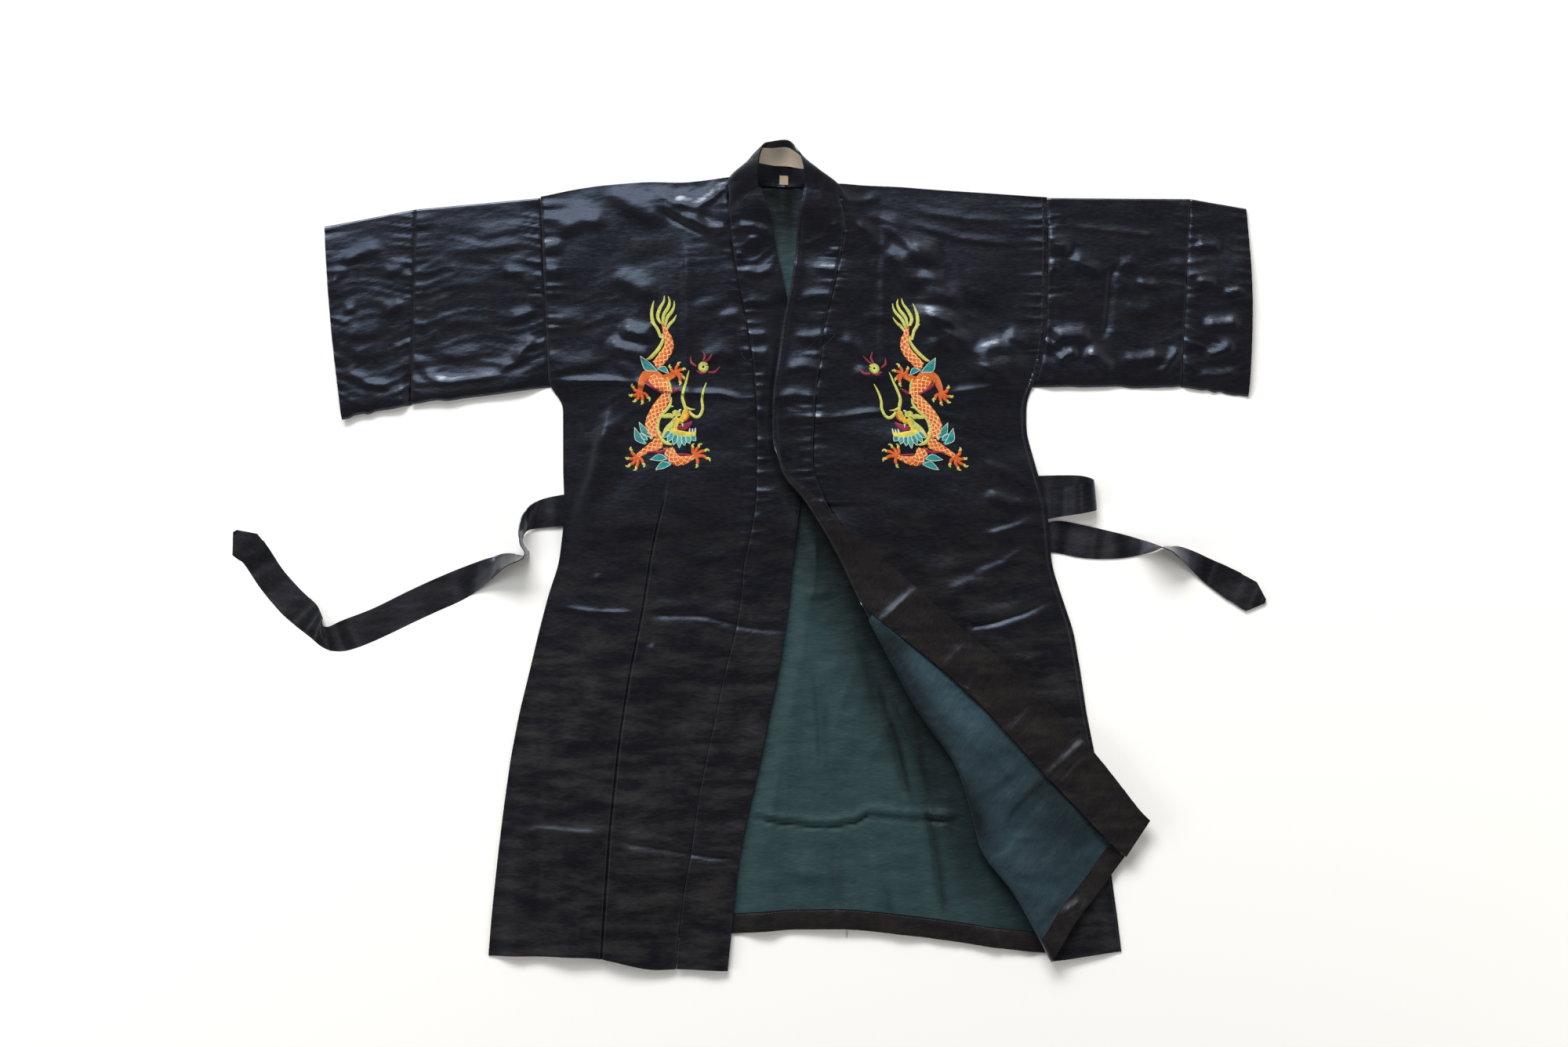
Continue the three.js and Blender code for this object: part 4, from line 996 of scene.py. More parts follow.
def left_face(x, y):
    offset = np.maximum(x - body("left", y), 0)
    to_seam = np.maximum(body("left_seam", y) - x, 0)
    armhole = soft_step(ARMHOLE_LOW, 230, y)
    fold, slit = long_fold(x, y)
    height = side_rise(offset, y) + belt_hump(y)
    height = height + (1 - bell(offset, 34)) * fold - slit
    relief = satin_relief(x, y) + creases(x, y, LEFT_CREASES)
    height = height + settled(offset, armhole) * (1 - 0.12 * bell(to_seam, 5)) * relief
    height = height + puckers(to_seam, y, 21) + puckers(offset, y, 23, **ARMHOLE_PUCKERS) * armhole
    dip = seam_dip(to_seam) + seam_dip(offset, 1.2) * soft_step(ARMHOLE_LOW, 215, y)
    top = line(FRONT_TOP_LEFT, x)
    height = height + neck_lift(x, y) * shoulder_fade(x, y, top)
    return np.maximum(height - dip, LEAST_FACE + belt_hump(y)) - top_fall(y, top)


def left_band_face(x, y):
    from_seam = np.maximum(x - body("left_seam", y), 0)
    to_edge = np.maximum(body("left_edge", y) - x, 0)
    # it lies flat under the right band, and close beside that band's edge
    under = soft_step(40, 90, y) * (1 - soft_step(320, 350, y)) * (1 - soft_step(0, 40, to_edge))
    beside = np.maximum(body("right_edge", y) - x, 0)
    beside = 0.8 * bell(beside, 9) * soft_step(20, 60, y) * soft_step(345, 320, y)
    smooth = 1.3 * (1 - 0.8 * soft_step(405, 450, y))
    relief = smooth * satin_relief(x, y) + creases(x, y, LEFT_CREASES)
    relief = relief * (1 - 0.98 * under) * (1 - beside)
    rounded = seam_dip(to_edge, 0.8, 2.5) + seam_dip(from_seam)
    strength = 2.0 - 1.2 * soft_step(120, -60, y)
    gather = puckers(from_seam, y, 21, 20, 14, strength) * (1 - under) * soft_step(478, 440, y)
    return LEFT_BAND_HEIGHT + belt_hump(y) + relief + gather - rounded + neck_lift(x, y)


FOLD_TOP = (18, 74)
FOLD_FOOT = (354, -554)
FOLD_LENGTH = math.dist(FOLD_TOP, FOLD_FOOT)
FOLD_TX = (FOLD_FOOT[0] - FOLD_TOP[0]) / FOLD_LENGTH
FOLD_TY = (FOLD_FOOT[1] - FOLD_TOP[1]) / FOLD_LENGTH
FOLD_NX, FOLD_NY = -FOLD_TY, FOLD_TX
ROLL_RADIUS = 4.0
FOLD_BENDS = [
    # place along the fold, reach, shift
    (415, 55, 11), (540, 45, -12), (-32, 30, -9), (90, 60, 4),
]


def fold_side(x, y):
    return (x - FOLD_TOP[0]) * FOLD_NX + (y - FOLD_TOP[1]) * FOLD_NY


def fold_run(x, y):
    return (x - FOLD_TOP[0]) * FOLD_TX + (y - FOLD_TOP[1]) * FOLD_TY


def fold_place(side, y):
    return FOLD_TOP[0] + (side - (y - FOLD_TOP[1]) * FOLD_NY) / FOLD_NX


def right_climb(x, y):
    """The right front climbs over the left band, and over its own lining at the fold."""
    inward = np.minimum(x - body("right_seam", y), fold_side(x, y))
    apex = bell(fold_run(x, y) - 120, 110)
    beside_fold = (2.4 + 6.0 * apex) * (1 - soft_step(0, 75, fold_side(x, y))) * soft_step(72, 20, y)
    return 2.6 * (1 - soft_step(0, 60, inward)) + beside_fold


def right_face(x, y):
    offset = np.maximum(body("right", y) - x, 0)
    seam_gap = np.abs(x - body("right_seam", y))
    pressed = 1 - 0.85 * np.exp(-((np.maximum(fold_side(x, y), 0) / 60) ** 4)) * (y < 60)
    armhole = soft_step(ARMHOLE_LOW, 230, y)
    relief = satin_relief(x, y) + creases(x, y, RIGHT_CREASES)
    height = side_rise(offset, y) + belt_hump(y) + right_tuck(x, y) + right_climb(x, y)
    height = height + settled(offset, armhole) * (1 - 0.12 * bell(seam_gap, 5)) * pressed * relief
    height = height + puckers(seam_gap, y, 71) * pressed
    height = height + puckers(offset, y, 73, **ARMHOLE_PUCKERS) * armhole
    height = height - seam_dip(seam_gap) - seam_dip(offset, 1.2) * soft_step(ARMHOLE_LOW, 215, y)
    top = line(FRONT_TOP_RIGHT, x)
    return height - top_fall(y, top) + neck_lift(x, y) * shoulder_fade(x, y, top)


def right_band_face(x, y):
    from_seam = np.maximum(body("right_seam", y) - x, 0)
    to_edge = np.maximum(x - body("right_edge", y), 0)
    smooth = 1.3 * (1 - 0.8 * soft_step(370, 425, y))
    relief = smooth * satin_relief(x, y) + creases(x, y, RIGHT_CREASES)
    rounded = seam_dip(to_edge, 0.9, 2.5) + seam_dip(from_seam)
    above_fold = (0.35 + 0.65 * soft_step(-20, 60, y)) * soft_step(478, 440, y)
    gather = puckers(from_seam, y, 71, 20, 14, 1.6) * above_fold
    lip = 2.6 * bell(to_edge - 2.5, 6) * soft_step(20, 60, y) * soft_step(470, 420, y)
    return RIGHT_BAND_HEIGHT + belt_hump(y) + relief + gather + lip - rounded + neck_lift(x, y)


def turned_relief(x, y):
    """Unevenness of the turned-back part, by where it lies."""
    across = (x + y) * 0.7
    down = (x - y) * 0.7
    soft = 1.8 * (1 + noise(down, across, 60, 40, 91)) + 0.7 * ripples(down, across, 40, 15, 95)
    return soft + creases(x, y, TURNED_CREASES)


def fold_wander(x, y):
    """The fold isn't ruler-straight: shifts points near it along its normal."""
    run = fold_run(x, y)
    shift = sum(amount * bell(run - place, reach) for place, reach, amount in FOLD_BENDS)
    near = bell(fold_side(x, y), 55)
    return x + FOLD_NX * shift * near, y + FOLD_NY * shift * near


def fold_over(x, y, face, out, own=0.0):
    """Carries an opened-out sheet round the fold. out is its distance outside the satin's face,
    towards the lining; own is relief of the sheet itself."""
    side = fold_side(x, y)
    run = ROLL_RADIUS - side
    angle = np.clip(run / ROLL_RADIUS, 0, math.pi)
    flat_x = x + np.clip(run, 0, None) * FOLD_NX
    flat_y = y + np.clip(run, 0, None) * FOLD_NY
    beyond = np.clip(run - math.pi * ROLL_RADIUS, 0, None)
    reach = ROLL_RADIUS + out
    shift = -reach * np.sin(angle) + beyond
    px = np.where(run > 0, flat_x + shift * FOLD_NX, x)
    py = np.where(run > 0, flat_y + shift * FOLD_NY, y)
    under = face(px, py)
    at_roll = face(flat_x, flat_y)
    share = soft_step(0, math.pi, angle)
    near = bell(beyond, 60)
    turned = 2 * ROLL_RADIUS * near + 2.4 * (1 - near) + out + turned_relief(px, py)
    rolling = ROLL_RADIUS - reach * np.cos(angle) + turned_relief(px, py) * share
    z = np.where(angle < math.pi, at_roll + rolling, under + turned)
    z = np.where(run <= 0, face(x, y) - out, z)
    wx, wy = fold_wander(px, py)
    return wx, wy, z + own


def folded_columns(y, start, stop, beyond, kept, roll=9, least=0.5):
    """Places along opened-out rows that follow the roll wherever it crosses them: beyond columns
    past the fold, roll columns on it and kept columns before it, at least so far apart."""
    count = beyond + roll + kept
    columns = []
    for n in range(roll):
        side = ROLL_RADIUS * (1 - math.pi * (roll - 1 - n) / (roll - 1))
        low = start + least * (beyond + n)
        high = stop - least * (count - 1 - beyond - n)
        columns.append(np.clip(fold_place(side, y), low, high))
    held = np.stack(columns, axis=1)
    edge = EDGE_LINES / 60
    outer = np.concatenate([[0, *edge], np.linspace(0, 1, beyond + 1)[1:-1]])
    inner = np.concatenate([np.linspace(0, 1, kept + 1)[1:-1], 1 - edge[::-1], [1]])
    before = start[:, None] + (held[:, :1] - start[:, None]) * outer[None, :]
    after = held[:, -1:] + (stop[:, None] - held[:, -1:]) * inner[None, :]
    return np.concatenate([before, held, after], axis=1)


# ---------------------------------------------------------------------------
# Body panels
# ---------------------------------------------------------------------------
def make_back():
    x, y = sheet_grid(
        lambda at: body("left", at) + 1.5, lambda at: body("right", at) - 1.5,
        lambda at: line(HEM_BACK, at), lambda at: line(BACK_TOP, at) - 1.0, pitch_x=14.0, pitch_y=7.0,
    )
    edge = np.minimum(x - body("left", y), body("right", y) - x)
    inner = soft_step(4, 40, edge)
    z = BACK_FACE + belt_hump(y) + right_tuck(x, y) + 0.3 * inner * ripples(x, y, 120, 30, 5)
    cloth_sheet(
        "back", x, y, z, x, y, SATIN, 1.0, ["back_panel"], "satin",
        (844, 1030), rests=["floor"], area=720 * 1000,
    )


def lining_right(y):
    return np.maximum(body("right_seam", y) - 4, fold_place(0, y) + 30)


def back_facing_top(x):
    return line(HEM_BACK, x) + HEM_FACING_DEPTH


def lining_face(x, y):
    shown_left = x - body("left_edge", y)
    limit = np.where(y < 150, fold_place(0, y), body("right_edge", y))
    shown = soft_step(4, 30, shown_left) * soft_step(4, 34, limit - x)
    soft = 1.8 * (1 + noise(x, y, 30, 130, 111)) + 0.6 * ripples(x, y, 26, 22, 113) + 2.6
    soft = soft + 1.3 * ripples(y, x, 110, 15, 115)
    return LINING_FACE + belt_hump(y) + shown * np.maximum(soft + 1.6 * creases(x, y, LINING_CREASES), 0)


def make_back_lining():
    x, y = sheet_grid(
        lambda at: body("left_seam", at) + 8, lining_right,
        lambda at: back_facing_top(at) + 0.4, lambda at: 0 * at + 479, pitch_x=4.8, pitch_y=4.8,
    )
    cloth_sheet(
        "back_lining_cloth", x, y, lining_face(x, y), x, y, LINING_BACK, LINING_THICK,
        ["back_lining"], "lining", (480, 990), rests=["back"], area=250 * 975,
        # painted shade in the shadows of the back lining's folds
        shade=1 - creases(x, y, BACK_SHADES),
    )


def make_back_hem_facing():
    xs = np.linspace(-135, 344, 150)
    shares = np.linspace(0, 1, 9)
    x, share = np.meshgrid(xs, shares)
    y = line(HEM_BACK, x) - 0.5 + (HEM_FACING_DEPTH + 0.2) * share
    puff = 0.9 * (1 - (2 * share - 1) ** 4)
    z = lining_face(x, y) + 0.1 + puff + puckers(np.abs(share) * HEM_FACING_DEPTH, x, 121, 20, 15, 0.6)
    cloth_sheet(
        "back_hem_band", x, y, z, x, y, FACING, 0.8, ["back_hem_facing"], "facing",
        (480, HEM_FACING_DEPTH), rests=["back"],
    )


def make_left_front():
    x, y = sheet_grid(
        lambda at: body("left", at), lambda at: body("left_seam", at),
        lambda at: line(HEM_LEFT, at), lambda at: line(FRONT_TOP_LEFT, at), PITCH, PITCH_ALONG,
        valley_place,
    )
    cloth_sheet(
        "left_front_cloth", x, y, left_face(x, y), x, y, SATIN, SATIN_THICK, ["left_front"], "satin",
        (330, 1060), rests=["back", "back_lining_cloth"], area=258 * 1040,
    )


BAND_ROWS = int(1040 / PITCH_ALONG)


def make_left_band():
    over = edged(20, BAND_WIDTH)[None, :]
    share = np.linspace(0, 1, BAND_ROWS)[:, None]
    foot = -562 - 3 * over
    top = 451 + 32 * over
    y = foot + (top - foot) * share
    x = body("left_seam", y) + (body("left_edge", y) - body("left_seam", y)) * over
    x = x + 0.5 * np.linspace(1, 0, x.shape[1])[None, :]
    cloth_sheet(
        "left_band_cloth", x, y, left_band_face(x, y), x, y, SATIN, BAND_THICK, ["left_band"], "satin",
        (BAND_WIDTH, 1050), rests=["back_lining_cloth"],
    )


def folded_rows(foot, top, pitch):
    return np.linspace(foot, top, int((top - foot) / pitch))


def make_right_front():
    ys = folded_rows(HEM_FOOT, 480, PITCH_ALONG)
    start, stop = body("right_seam", ys), body("right", ys)
    x = folded_columns(ys, start, stop, beyond=30, kept=66)
    share = (ys[:, None] - ys[0]) / (ys[-1] - ys[0])
    top = line(FRONT_TOP_RIGHT, x)
    foot = line(HEM_RIGHT, x)
    y = ys[:, None] + (foot - ys[0]) * (1 - share) ** 6 + (top - ys[-1]) * share**6
    over = (x - start[:, None]) / (stop - start)[:, None]
    x = body("right_seam", y) + (body("right", y) - body("right_seam", y)) * over
    px, py, z = fold_over(x, y, right_face, 0.0)
    cloth_sheet(
        "right_front_cloth", px, py, z, x, y, SATIN, SATIN_THICK, ["right_front"], "satin",
        (420, 1050), held="folded", rests=["back", "back_lining_cloth"], area=275 * 1030,
    )


BAND_FOOT, BAND_TOP = -557, 477


def make_right_band():
    share = np.linspace(0, 1, BAND_ROWS)
    ys = BAND_FOOT + (BAND_TOP - BAND_FOOT) * share
    start, stop = body("right_edge", ys), body("right_seam", ys) - 0.5
    x = folded_columns(ys, start, stop, beyond=9, kept=9)
    slant = (x - start[:, None]) / (stop - start)[:, None]
    y = ys[:, None] + (4 - 8 * slant) * share[:, None] ** 8
    x = body("right_edge", y) + (body("right_seam", y) - 0.5 - body("right_edge", y)) * slant
    px, py, z = fold_over(x, y, right_band_face, 0.0)
    lifted = z + 0.6 * (fold_side(x, y) < 0)
    obj = cloth_sheet(
        "right_band_cloth", px, py, lifted, x, y, SATIN, BAND_THICK, ["right_band"], "satin",
        (BAND_WIDTH, 1040), held="folded", rests=["left_band_cloth", "right_front_cloth"],
    )
    turned = fold_side(x, y) < ROLL_RADIUS * (1 - math.pi / 2)
    obj.data.materials.append(FACING)
    obj.data.polygons.foreach_set("material_index", turned[:-1, :-1].astype(np.int32).ravel())


def make_right_front_lining():
    ys = folded_rows(FACING_TOP, -96, PITCH_ALONG * 1.3)
    start = body("right_seam", ys) + 0.4
    stop = fold_place(10, ys)
    x = folded_columns(ys, start, stop, beyond=46, kept=4)
    share = (ys[:, None] - ys[0]) / (ys[-1] - ys[0])
    foot = line(HEM_RIGHT, x) + HEM_FACING_DEPTH + 0.4
    y = ys[:, None] + (foot - ys[0]) * (1 - share) ** 6
    px, py, z = fold_over(x, y, right_face, 1.0)
    cloth_sheet(
        "turned_lining", px, py, z, x, y, LINING, LINING_THICK, ["right_front_lining"], "lining",
        (190, 430), held="folded", rests=["right_front_cloth"], area=95 * 430,
        # painted shade along the roll and in the folds of the turned lining, painted light where it lies
        # lighter
        shade=1 - creases(px, py, TURNED_SHADES),
    )


def make_right_hem_facing():
    ys = np.linspace(HEM_FOOT, FACING_TOP, 9)
    start = body("right_seam", ys) + 0.4
    stop = fold_place(10, ys)
    x = folded_columns(ys, start, stop, beyond=46, kept=4)
    y = line(HEM_RIGHT, x) + (ys[:, None] - HEM_FOOT)
    px, py, z = fold_over(x, y, right_face, 1.2)
    cloth_sheet(
        "turned_hem_band", px, py, z, x, y, FACING, 0.7, ["right_hem_facing"], "facing",
        (190, HEM_FACING_DEPTH), held="folded", rests=["right_front_cloth"],
    )


# ---------------------------------------------------------------------------
# Sleeves
# ---------------------------------------------------------------------------
SLEEVE_LOW = 216.0
SLEEVE_HIGH = 469.4
LEFT_SLEEVE_SEAM = ((-504, 192), (-499, 454))
LEFT_CUFF = ((-596, 173), (-620, 431))
RIGHT_SLEEVE_SEAM = ((526, 216), (538, 468))
RIGHT_CUFF = ((616, 203), (613, 455))
SLEEVE_FACE = 4.3
SLEEVE_DEPTH = 255  # from its lower fold to its top
SLEEVE_THICK = 0.6
SLEEVE_UNDER_LINES = 16


def seam_line(seam, bow=0.0):
    """x and y along a seam by share, from its low point; bow bends it outwards."""
    (x0, y0), (x1, y1) = seam

    def at(share):
        return x0 + (x1 - x0) * share + bow * np.sin(share * math.pi), y0 + (y1 - y0) * share

    return at


def armhole(side, away):
    def at(share):
        y = SLEEVE_LOW + (SLEEVE_HIGH - SLEEVE_LOW) * share
        return body(side, y) + away, y

    return at


def make_sleeve(name, node, near, far, length, seed, ends, open_cuff, livelier=1.0):
    """A flattened tube: its flat underside, then its uneven upper side, joined in one loop. near and
    far are its end lines, ends is how much each holds the relief down, open_cuff is 1 for a cuff."""
    fineness = PITCH * 0.66
    along = edged(int(length / fineness), length)[:, None]
    from_near, to_far = along * length, (1 - along) * length
    low_share = np.linspace(0, 1, SLEEVE_UNDER_LINES + 1)[:-1]
    top_share = np.linspace(1, 0, int(SLEEVE_DEPTH / fineness) + 1)[1:-1]
    top_share = np.concatenate([[1, 1 - 0.6 / SLEEVE_DEPTH], top_share])
    share = np.concatenate([low_share, top_share])[None, :]
    on_top = (np.arange(share.size) >= SLEEVE_UNDER_LINES)[None, :]
    near_x, near_y = near(share)
    far_x, far_y = far(share)
    x = near_x + (far_x - near_x) * along
    wave_low = 2.2 * noise(far_x * along, far_y * 0 + 3, 60, 50, seed + 2)
    y = near_y + (far_y - near_y) * along + wave_low * bell(share, 0.05) * along
    from_low, from_high = share * SLEEVE_DEPTH, (1 - share) * SLEEVE_DEPTH
    swell = (1 - bell(from_low, 5)) * (1 - bell(from_high, 0.35))
    full = (1 - bell(from_low, 16)) * (1 - bell(from_high, 46))
    joined = 1 - ends[0] * bell(from_near, 7) - ends[1] * bell(to_far, 7)
    fine = ripples(x + 0.3 * y, y - 0.15 * x, 52, 12, seed + 3)
    relief = 0.45 * satin_relief(x, y) + 0.8 * creases(x, y, SLEEVE_CREASES)
    relief = livelier * relief + 0.6 * fine
    dip = seam_dip(from_near, 1.2) + (1 - open_cuff) * seam_dip(to_far, 0.9)
    slant = 0.55 * soft_step(350, 280, y) - 0.15
    gather = puckers(to_far, y + slant * to_far, seed + 5, 20, 15, 1.7) - dip
    gather = gather + puckers(from_near, y + slant * from_near, 71, **ARMHOLE_PUCKERS)
    opening = open_cuff * 3.0 * bell(to_far, 40) * np.sin(share * math.pi)
    upper = 1.4 + (SLEEVE_FACE - 1.4) * swell + full * joined * relief + swell * (gather + opening)
    lift = 9.0 * bell(from_low, 34) * (0.5 + 0.5 * noise(x, 0 * share, 46, 50, seed + 9))
    z = np.where(on_top, upper, 0.75 - 0.6 * swell) + lift * soft_step(0, 0.15, along)
    around = np.concatenate([low_share, 2 - top_share])[None, :] * SLEEVE_DEPTH
    verts, uvs = (
        np.stack([part + 0 * z for part in parts], axis=-1).reshape(z.size, -1)
        for parts in ((x, y, z), (x, around))
    )
    obj = add_mesh(name, verts, grid_faces(*z.shape, closed=True), uvs, SATIN)
    face_out(obj)
    shell(obj, SLEEVE_THICK)
    finish_cloth(obj, [node])


def face_out(obj):
    """Turns an open tube's faces outwards, by which way its top faces point."""
    mesh = obj.data
    top = max(mesh.polygons, key=lambda polygon: polygon.center.z)
    if top.normal.z < 0:
        mesh.flip_normals()


def make_sleeves():
    make_sleeve(
        "left_sleeve_cloth", "left_sleeve", armhole("left", -0.4), seam_line(LEFT_SLEEVE_SEAM),
        172, 131, (0.2, 0.3), 0,
    )
    make_sleeve(
        "left_sleeve_end_cloth", "left_sleeve_end", seam_line(LEFT_SLEEVE_SEAM, -0.4),
        seam_line(LEFT_CUFF, -3), 108, 137, (0.3, 0.3), 1,
    )
    make_sleeve(
        "right_sleeve_cloth", "right_sleeve", armhole("right", 0.4), seam_line(RIGHT_SLEEVE_SEAM),
        196, 151, (0.2, 0.3), 0, 1.6,
    )
    make_sleeve(
        "right_sleeve_end_cloth", "right_sleeve_end", seam_line(RIGHT_SLEEVE_SEAM, 0.4),
        seam_line(RIGHT_CUFF, 6), 84, 157, (0.3, 0.3), 1, 1.9,
    )


# ---------------------------------------------------------------------------
# Neck band, label and tag
# ---------------------------------------------------------------------------
NECK_BAND = [
    # seam, belly, edge
    ((-79.0, 451.5, 11.0), (-59.5, 467.5, 17.0), (-40.0, 483.4, 19.5)),
    ((-80, 461, 12), (-66, 476, 19.5), (-40, 489, 23)),
    ((-79.5, 473, 9.5), (-73, 488, 19.5), (-40, 497, 28)),
    ((-75, 485, 5.0), (-75, 501, 21), (-41, 507, 36)),
    ((-62, 490, 4.2), (-60, 515, 22), (-40, 524, 40)),
    ((-42, 487, 3.6), (-45, 521, 19), (-34, 542, 34)),
    ((-20, 485, 3.4), (-20, 517, 9), (-22, 546, 27)),
    ((0, 484, 3.4), (0, 516, 8), (-3, 548, 24)),
    ((16, 485, 3.4), (12, 514, 11), (7, 543, 28)),
    ((34, 485, 3.8), (30, 511, 20), (17, 530, 36)),
    ((52, 486, 4.8), (48, 505, 20), (21, 514, 36)),
    ((73, 481, 13), (60, 492, 21.5), (22, 498, 27)),
    ((79.5, 468, 16.5), (50, 475.5, 21.8), (22.2, 481.8, 22)),
]
NECK_TABLE = np.array(NECK_BAND, dtype=float)
NECK_ROW = 17  # mm along the band from one row to the next


def cubic_along(table, place):
    """Smooth value along rows of a table: place counts the rows."""
    last = len(table) - 1
    base = np.clip(np.floor(place).astype(int), 0, last - 1)
    t = (place - base).reshape(-1, *([1] * (table.ndim - 1)))
    p0, p1 = table[np.clip(base - 1, 0, last)], table[base]
    p2, p3 = table[base + 1], table[np.clip(base + 2, 0, last)]
    m1, m2 = (p2 - p0) / 2, (p3 - p1) / 2
    cube, square = t**3, t**2
    start = p1 * (2 * cube - 3 * square + 1) + m1 * (cube - 2 * square + t)
    return start + p2 * (3 * square - 2 * cube) + m2 * (cube - square)


def grid_normals(grid):
    """The direction out of a grid of points, at each point."""
    normal = np.cross(np.gradient(grid, axis=0), np.gradient(grid, axis=1))
    return normal / np.maximum(np.linalg.norm(normal, axis=-1, keepdims=True), 1e-9)


def neck_surface(places, shares, off):
    """Points of the neck band's visible face, moved out by off."""
    rows = cubic_along(NECK_TABLE, np.asarray(places, float))
    s = np.asarray(shares, float)[None, :, None]
    seam, belly, edge = rows[:, None, 0], rows[:, None, 1], rows[:, None, 2]
    grid = seam * (1 - s) * (1 - 2 * s) + belly * 4 * s * (1 - s) + edge * s * (2 * s - 1)
    return grid + grid_normals(grid) * np.asarray(off)[..., None]


def ribbon_uv(grid):
    """A strip's own measures, across and along it."""
    steps = np.linalg.norm(np.diff(grid, axis=0), axis=-1).mean(axis=1)
    run = np.concatenate([[0], np.cumsum(steps)])
    over = np.linalg.norm(np.diff(grid, axis=1), axis=-1).mean(axis=0)
    width = np.concatenate([[0], np.cumsum(over)])
    return np.meshgrid(width, run)


def seen_from_above(grid):
    """The tables hold outlines as a camera straight above sees them: raised points lie further in."""
    pull = 1 - grid[..., 2:3] * MM / CAMERA_HEIGHT
    centre = np.array(CAMERA_OVER) / MM
    flat = centre + (grid[..., :2] - centre) * pull
    return np.concatenate([flat, grid[..., 2:3]], axis=-1)


def make_neck_band():
    last = len(NECK_BAND) - 1
    places = np.linspace(0, last, 150)
    shares = edged(24, BAND_WIDTH)
    p, s = np.meshgrid(places, shares, indexing="ij")
    along, across = p * NECK_ROW, s * 65
    inside = soft_step(0.4, 1.6, p) * soft_step(0.4, 1.6, last - p)
    relief = 0.9 * ripples(along, across, 26, 30, 171) + puckers(across, along, 173, 12, 12, 0.8)
    grid = neck_surface(places, shares, 0.01 + inside * relief)
    near_left, near_right = 1 - soft_step(0, 1.9, p), 1 - soft_step(0, 1.6, last - p)
    for band_face, near in ((left_band_face, near_left), (right_band_face, near_right)):
        rise = band_face(grid[..., 0], grid[..., 1]) - grid[..., 2]
        grid[..., 2] = grid[..., 2] + rise * near
    grid = seen_from_above(grid)
    over, run = ribbon_uv(grid)
    cloth_sheet(
        "neck_band_cloth", *np.moveaxis(grid, -1, 0), run, over, SATIN, BAND_THICK,
        ["neck_band"], "satin", (BAND_WIDTH, 225), held="folded", rests=["back", "left_front_cloth"],
    )


def make_label(name, node, places, shares, off, finish):
    """A label on the neck band. places along it and shares across it are each first, last, count."""
    grid = seen_from_above(neck_surface(np.linspace(*places), np.linspace(*shares), off))
    over, run = ribbon_uv(grid)
    size = (float(over.max()), float(run.max()))
    cloth_sheet(
        name, *np.moveaxis(grid, -1, 0), over, run, finish, 0.4, [node], "label", size,
        held="laid", rests=["neck_band_cloth"],
    )
    return grid


# ---------------------------------------------------------------------------
# Belt
# ---------------------------------------------------------------------------
# the two edges of the strip at each place, as (x, y, z)
BELT_LEFT = [
    ((-295.5, 73, 0.9), (-295.5, 31, 0.9)), ((-318, 69, 1.4), (-318, 29, 0.9)),
    ((-333, 65, 4), (-338, 27, 0.9)), ((-346, 58, 14), (-349, 25, 1.2)),
    ((-357, 44, 26), (-355, 19, 1.2)), ((-362, 26, 35), (-357, 10, 1.2)),
    ((-360, 6, 38), (-353, 0, 1.2)), ((-354, -5, 39), (-349, -6, 1.2)),
    ((-357, -12, 38), (-354, -9, 1.2)), ((-367, -17, 34), (-366, -6, 1.2)),
    ((-383, -26, 26), (-381, -6, 1.2)), ((-400, -42, 12), (-396, -11, 1.2)),
    ((-419, -58, 3), (-414, -17, 1.2)), ((-440, -71, 1.2), (-455, -33, 2)),
    ((-487, -92, 1), (-504, -55, 3)), ((-539, -117, 1), (-555, -80, 3)),
    ((-580, -134, 1), (-596, -96, 4)), ((-604, -138, 1), (-616, -105, 7)),
    ((-623, -133, 1), (-625, -101, 9)), ((-640, -119, 1), (-626, -90, 7)),
    ((-660, -103, 1), (-632, -75, 4)), ((-679, -86, 1), (-650, -58, 2)),
    ((-706, -54, 1), (-675, -30, 1)), ((-729, -20, 1), (-697, 3, 1)),
    ((-744, -9, 1), (-711, 20, 1)), ((-743, 22, 1), (-738, 25, 1)),
]
BELT_BACK = [
    ((-295, 73, 0.9), (-295, 31, 0.9)), ((-100, 77, 0.9), (-100, 36, 0.9)),
    ((120, 86, 0.9), (120, 46, 0.9)), ((322, 97, 0.9), (322, 57, 0.9)),
]
BELT_RIGHT_LOOP = [
    ((322.5, 97, 0.9), (322.5, 57, 0.9)), ((355, 98, 0.9), (355, 58, 0.9)), ((386, 98, 1), (386, 58, 1)),
    ((400, 96, 2), (404, 56, 2)), ((407, 93, 6), (411, 53, 6)), ((408, 90, 11), (411, 51, 11)),
    ((402, 89, 14), (404, 49, 14)), ((388, 86, 13.5), (388, 46, 13.5)), ((370, 82, 8), (368, 43, 8)),
    ((354, 78, 2.7), (352, 40, 2.7)), ((340, 76, 2.7), (338, 38, 2.7)),
]
BELT_RIGHT_TAIL = [
    ((338, 33, 0.9), (338, -5, 0.9)), ((365, 37, 0.9), (360, -6, 0.9)), ((398, 31, 1.2), (390, -12, 1.2)),
    ((424, 25, 1.2), (418, -14, 1.6)), ((452, 18, 6), (448, -13, 2)), ((478, 9, 24), (474, -9, 2)),
    ((494, 3, 36), (492, -4, 2)), ((504, -1, 38), (504, 1, 2)), ((514, -5, 34), (513, 1, 2)),
    ((524, -14, 24), (525, 1, 2)), ((539, -28, 6), (546, -5, 1.6)), ((556, -44, 1.2), (566, -14, 1.2)),
    ((577, -60, 1.2), (595, -27, 1.2)), ((613, -84, 1), (628, -45, 1)), ((639, -73, 1), (640, -68, 1)),
]
BELT_THICK = 1.3
BELT_WIDTH = 40
BELT_LINES = 13
BELT_PITCH = 2.6


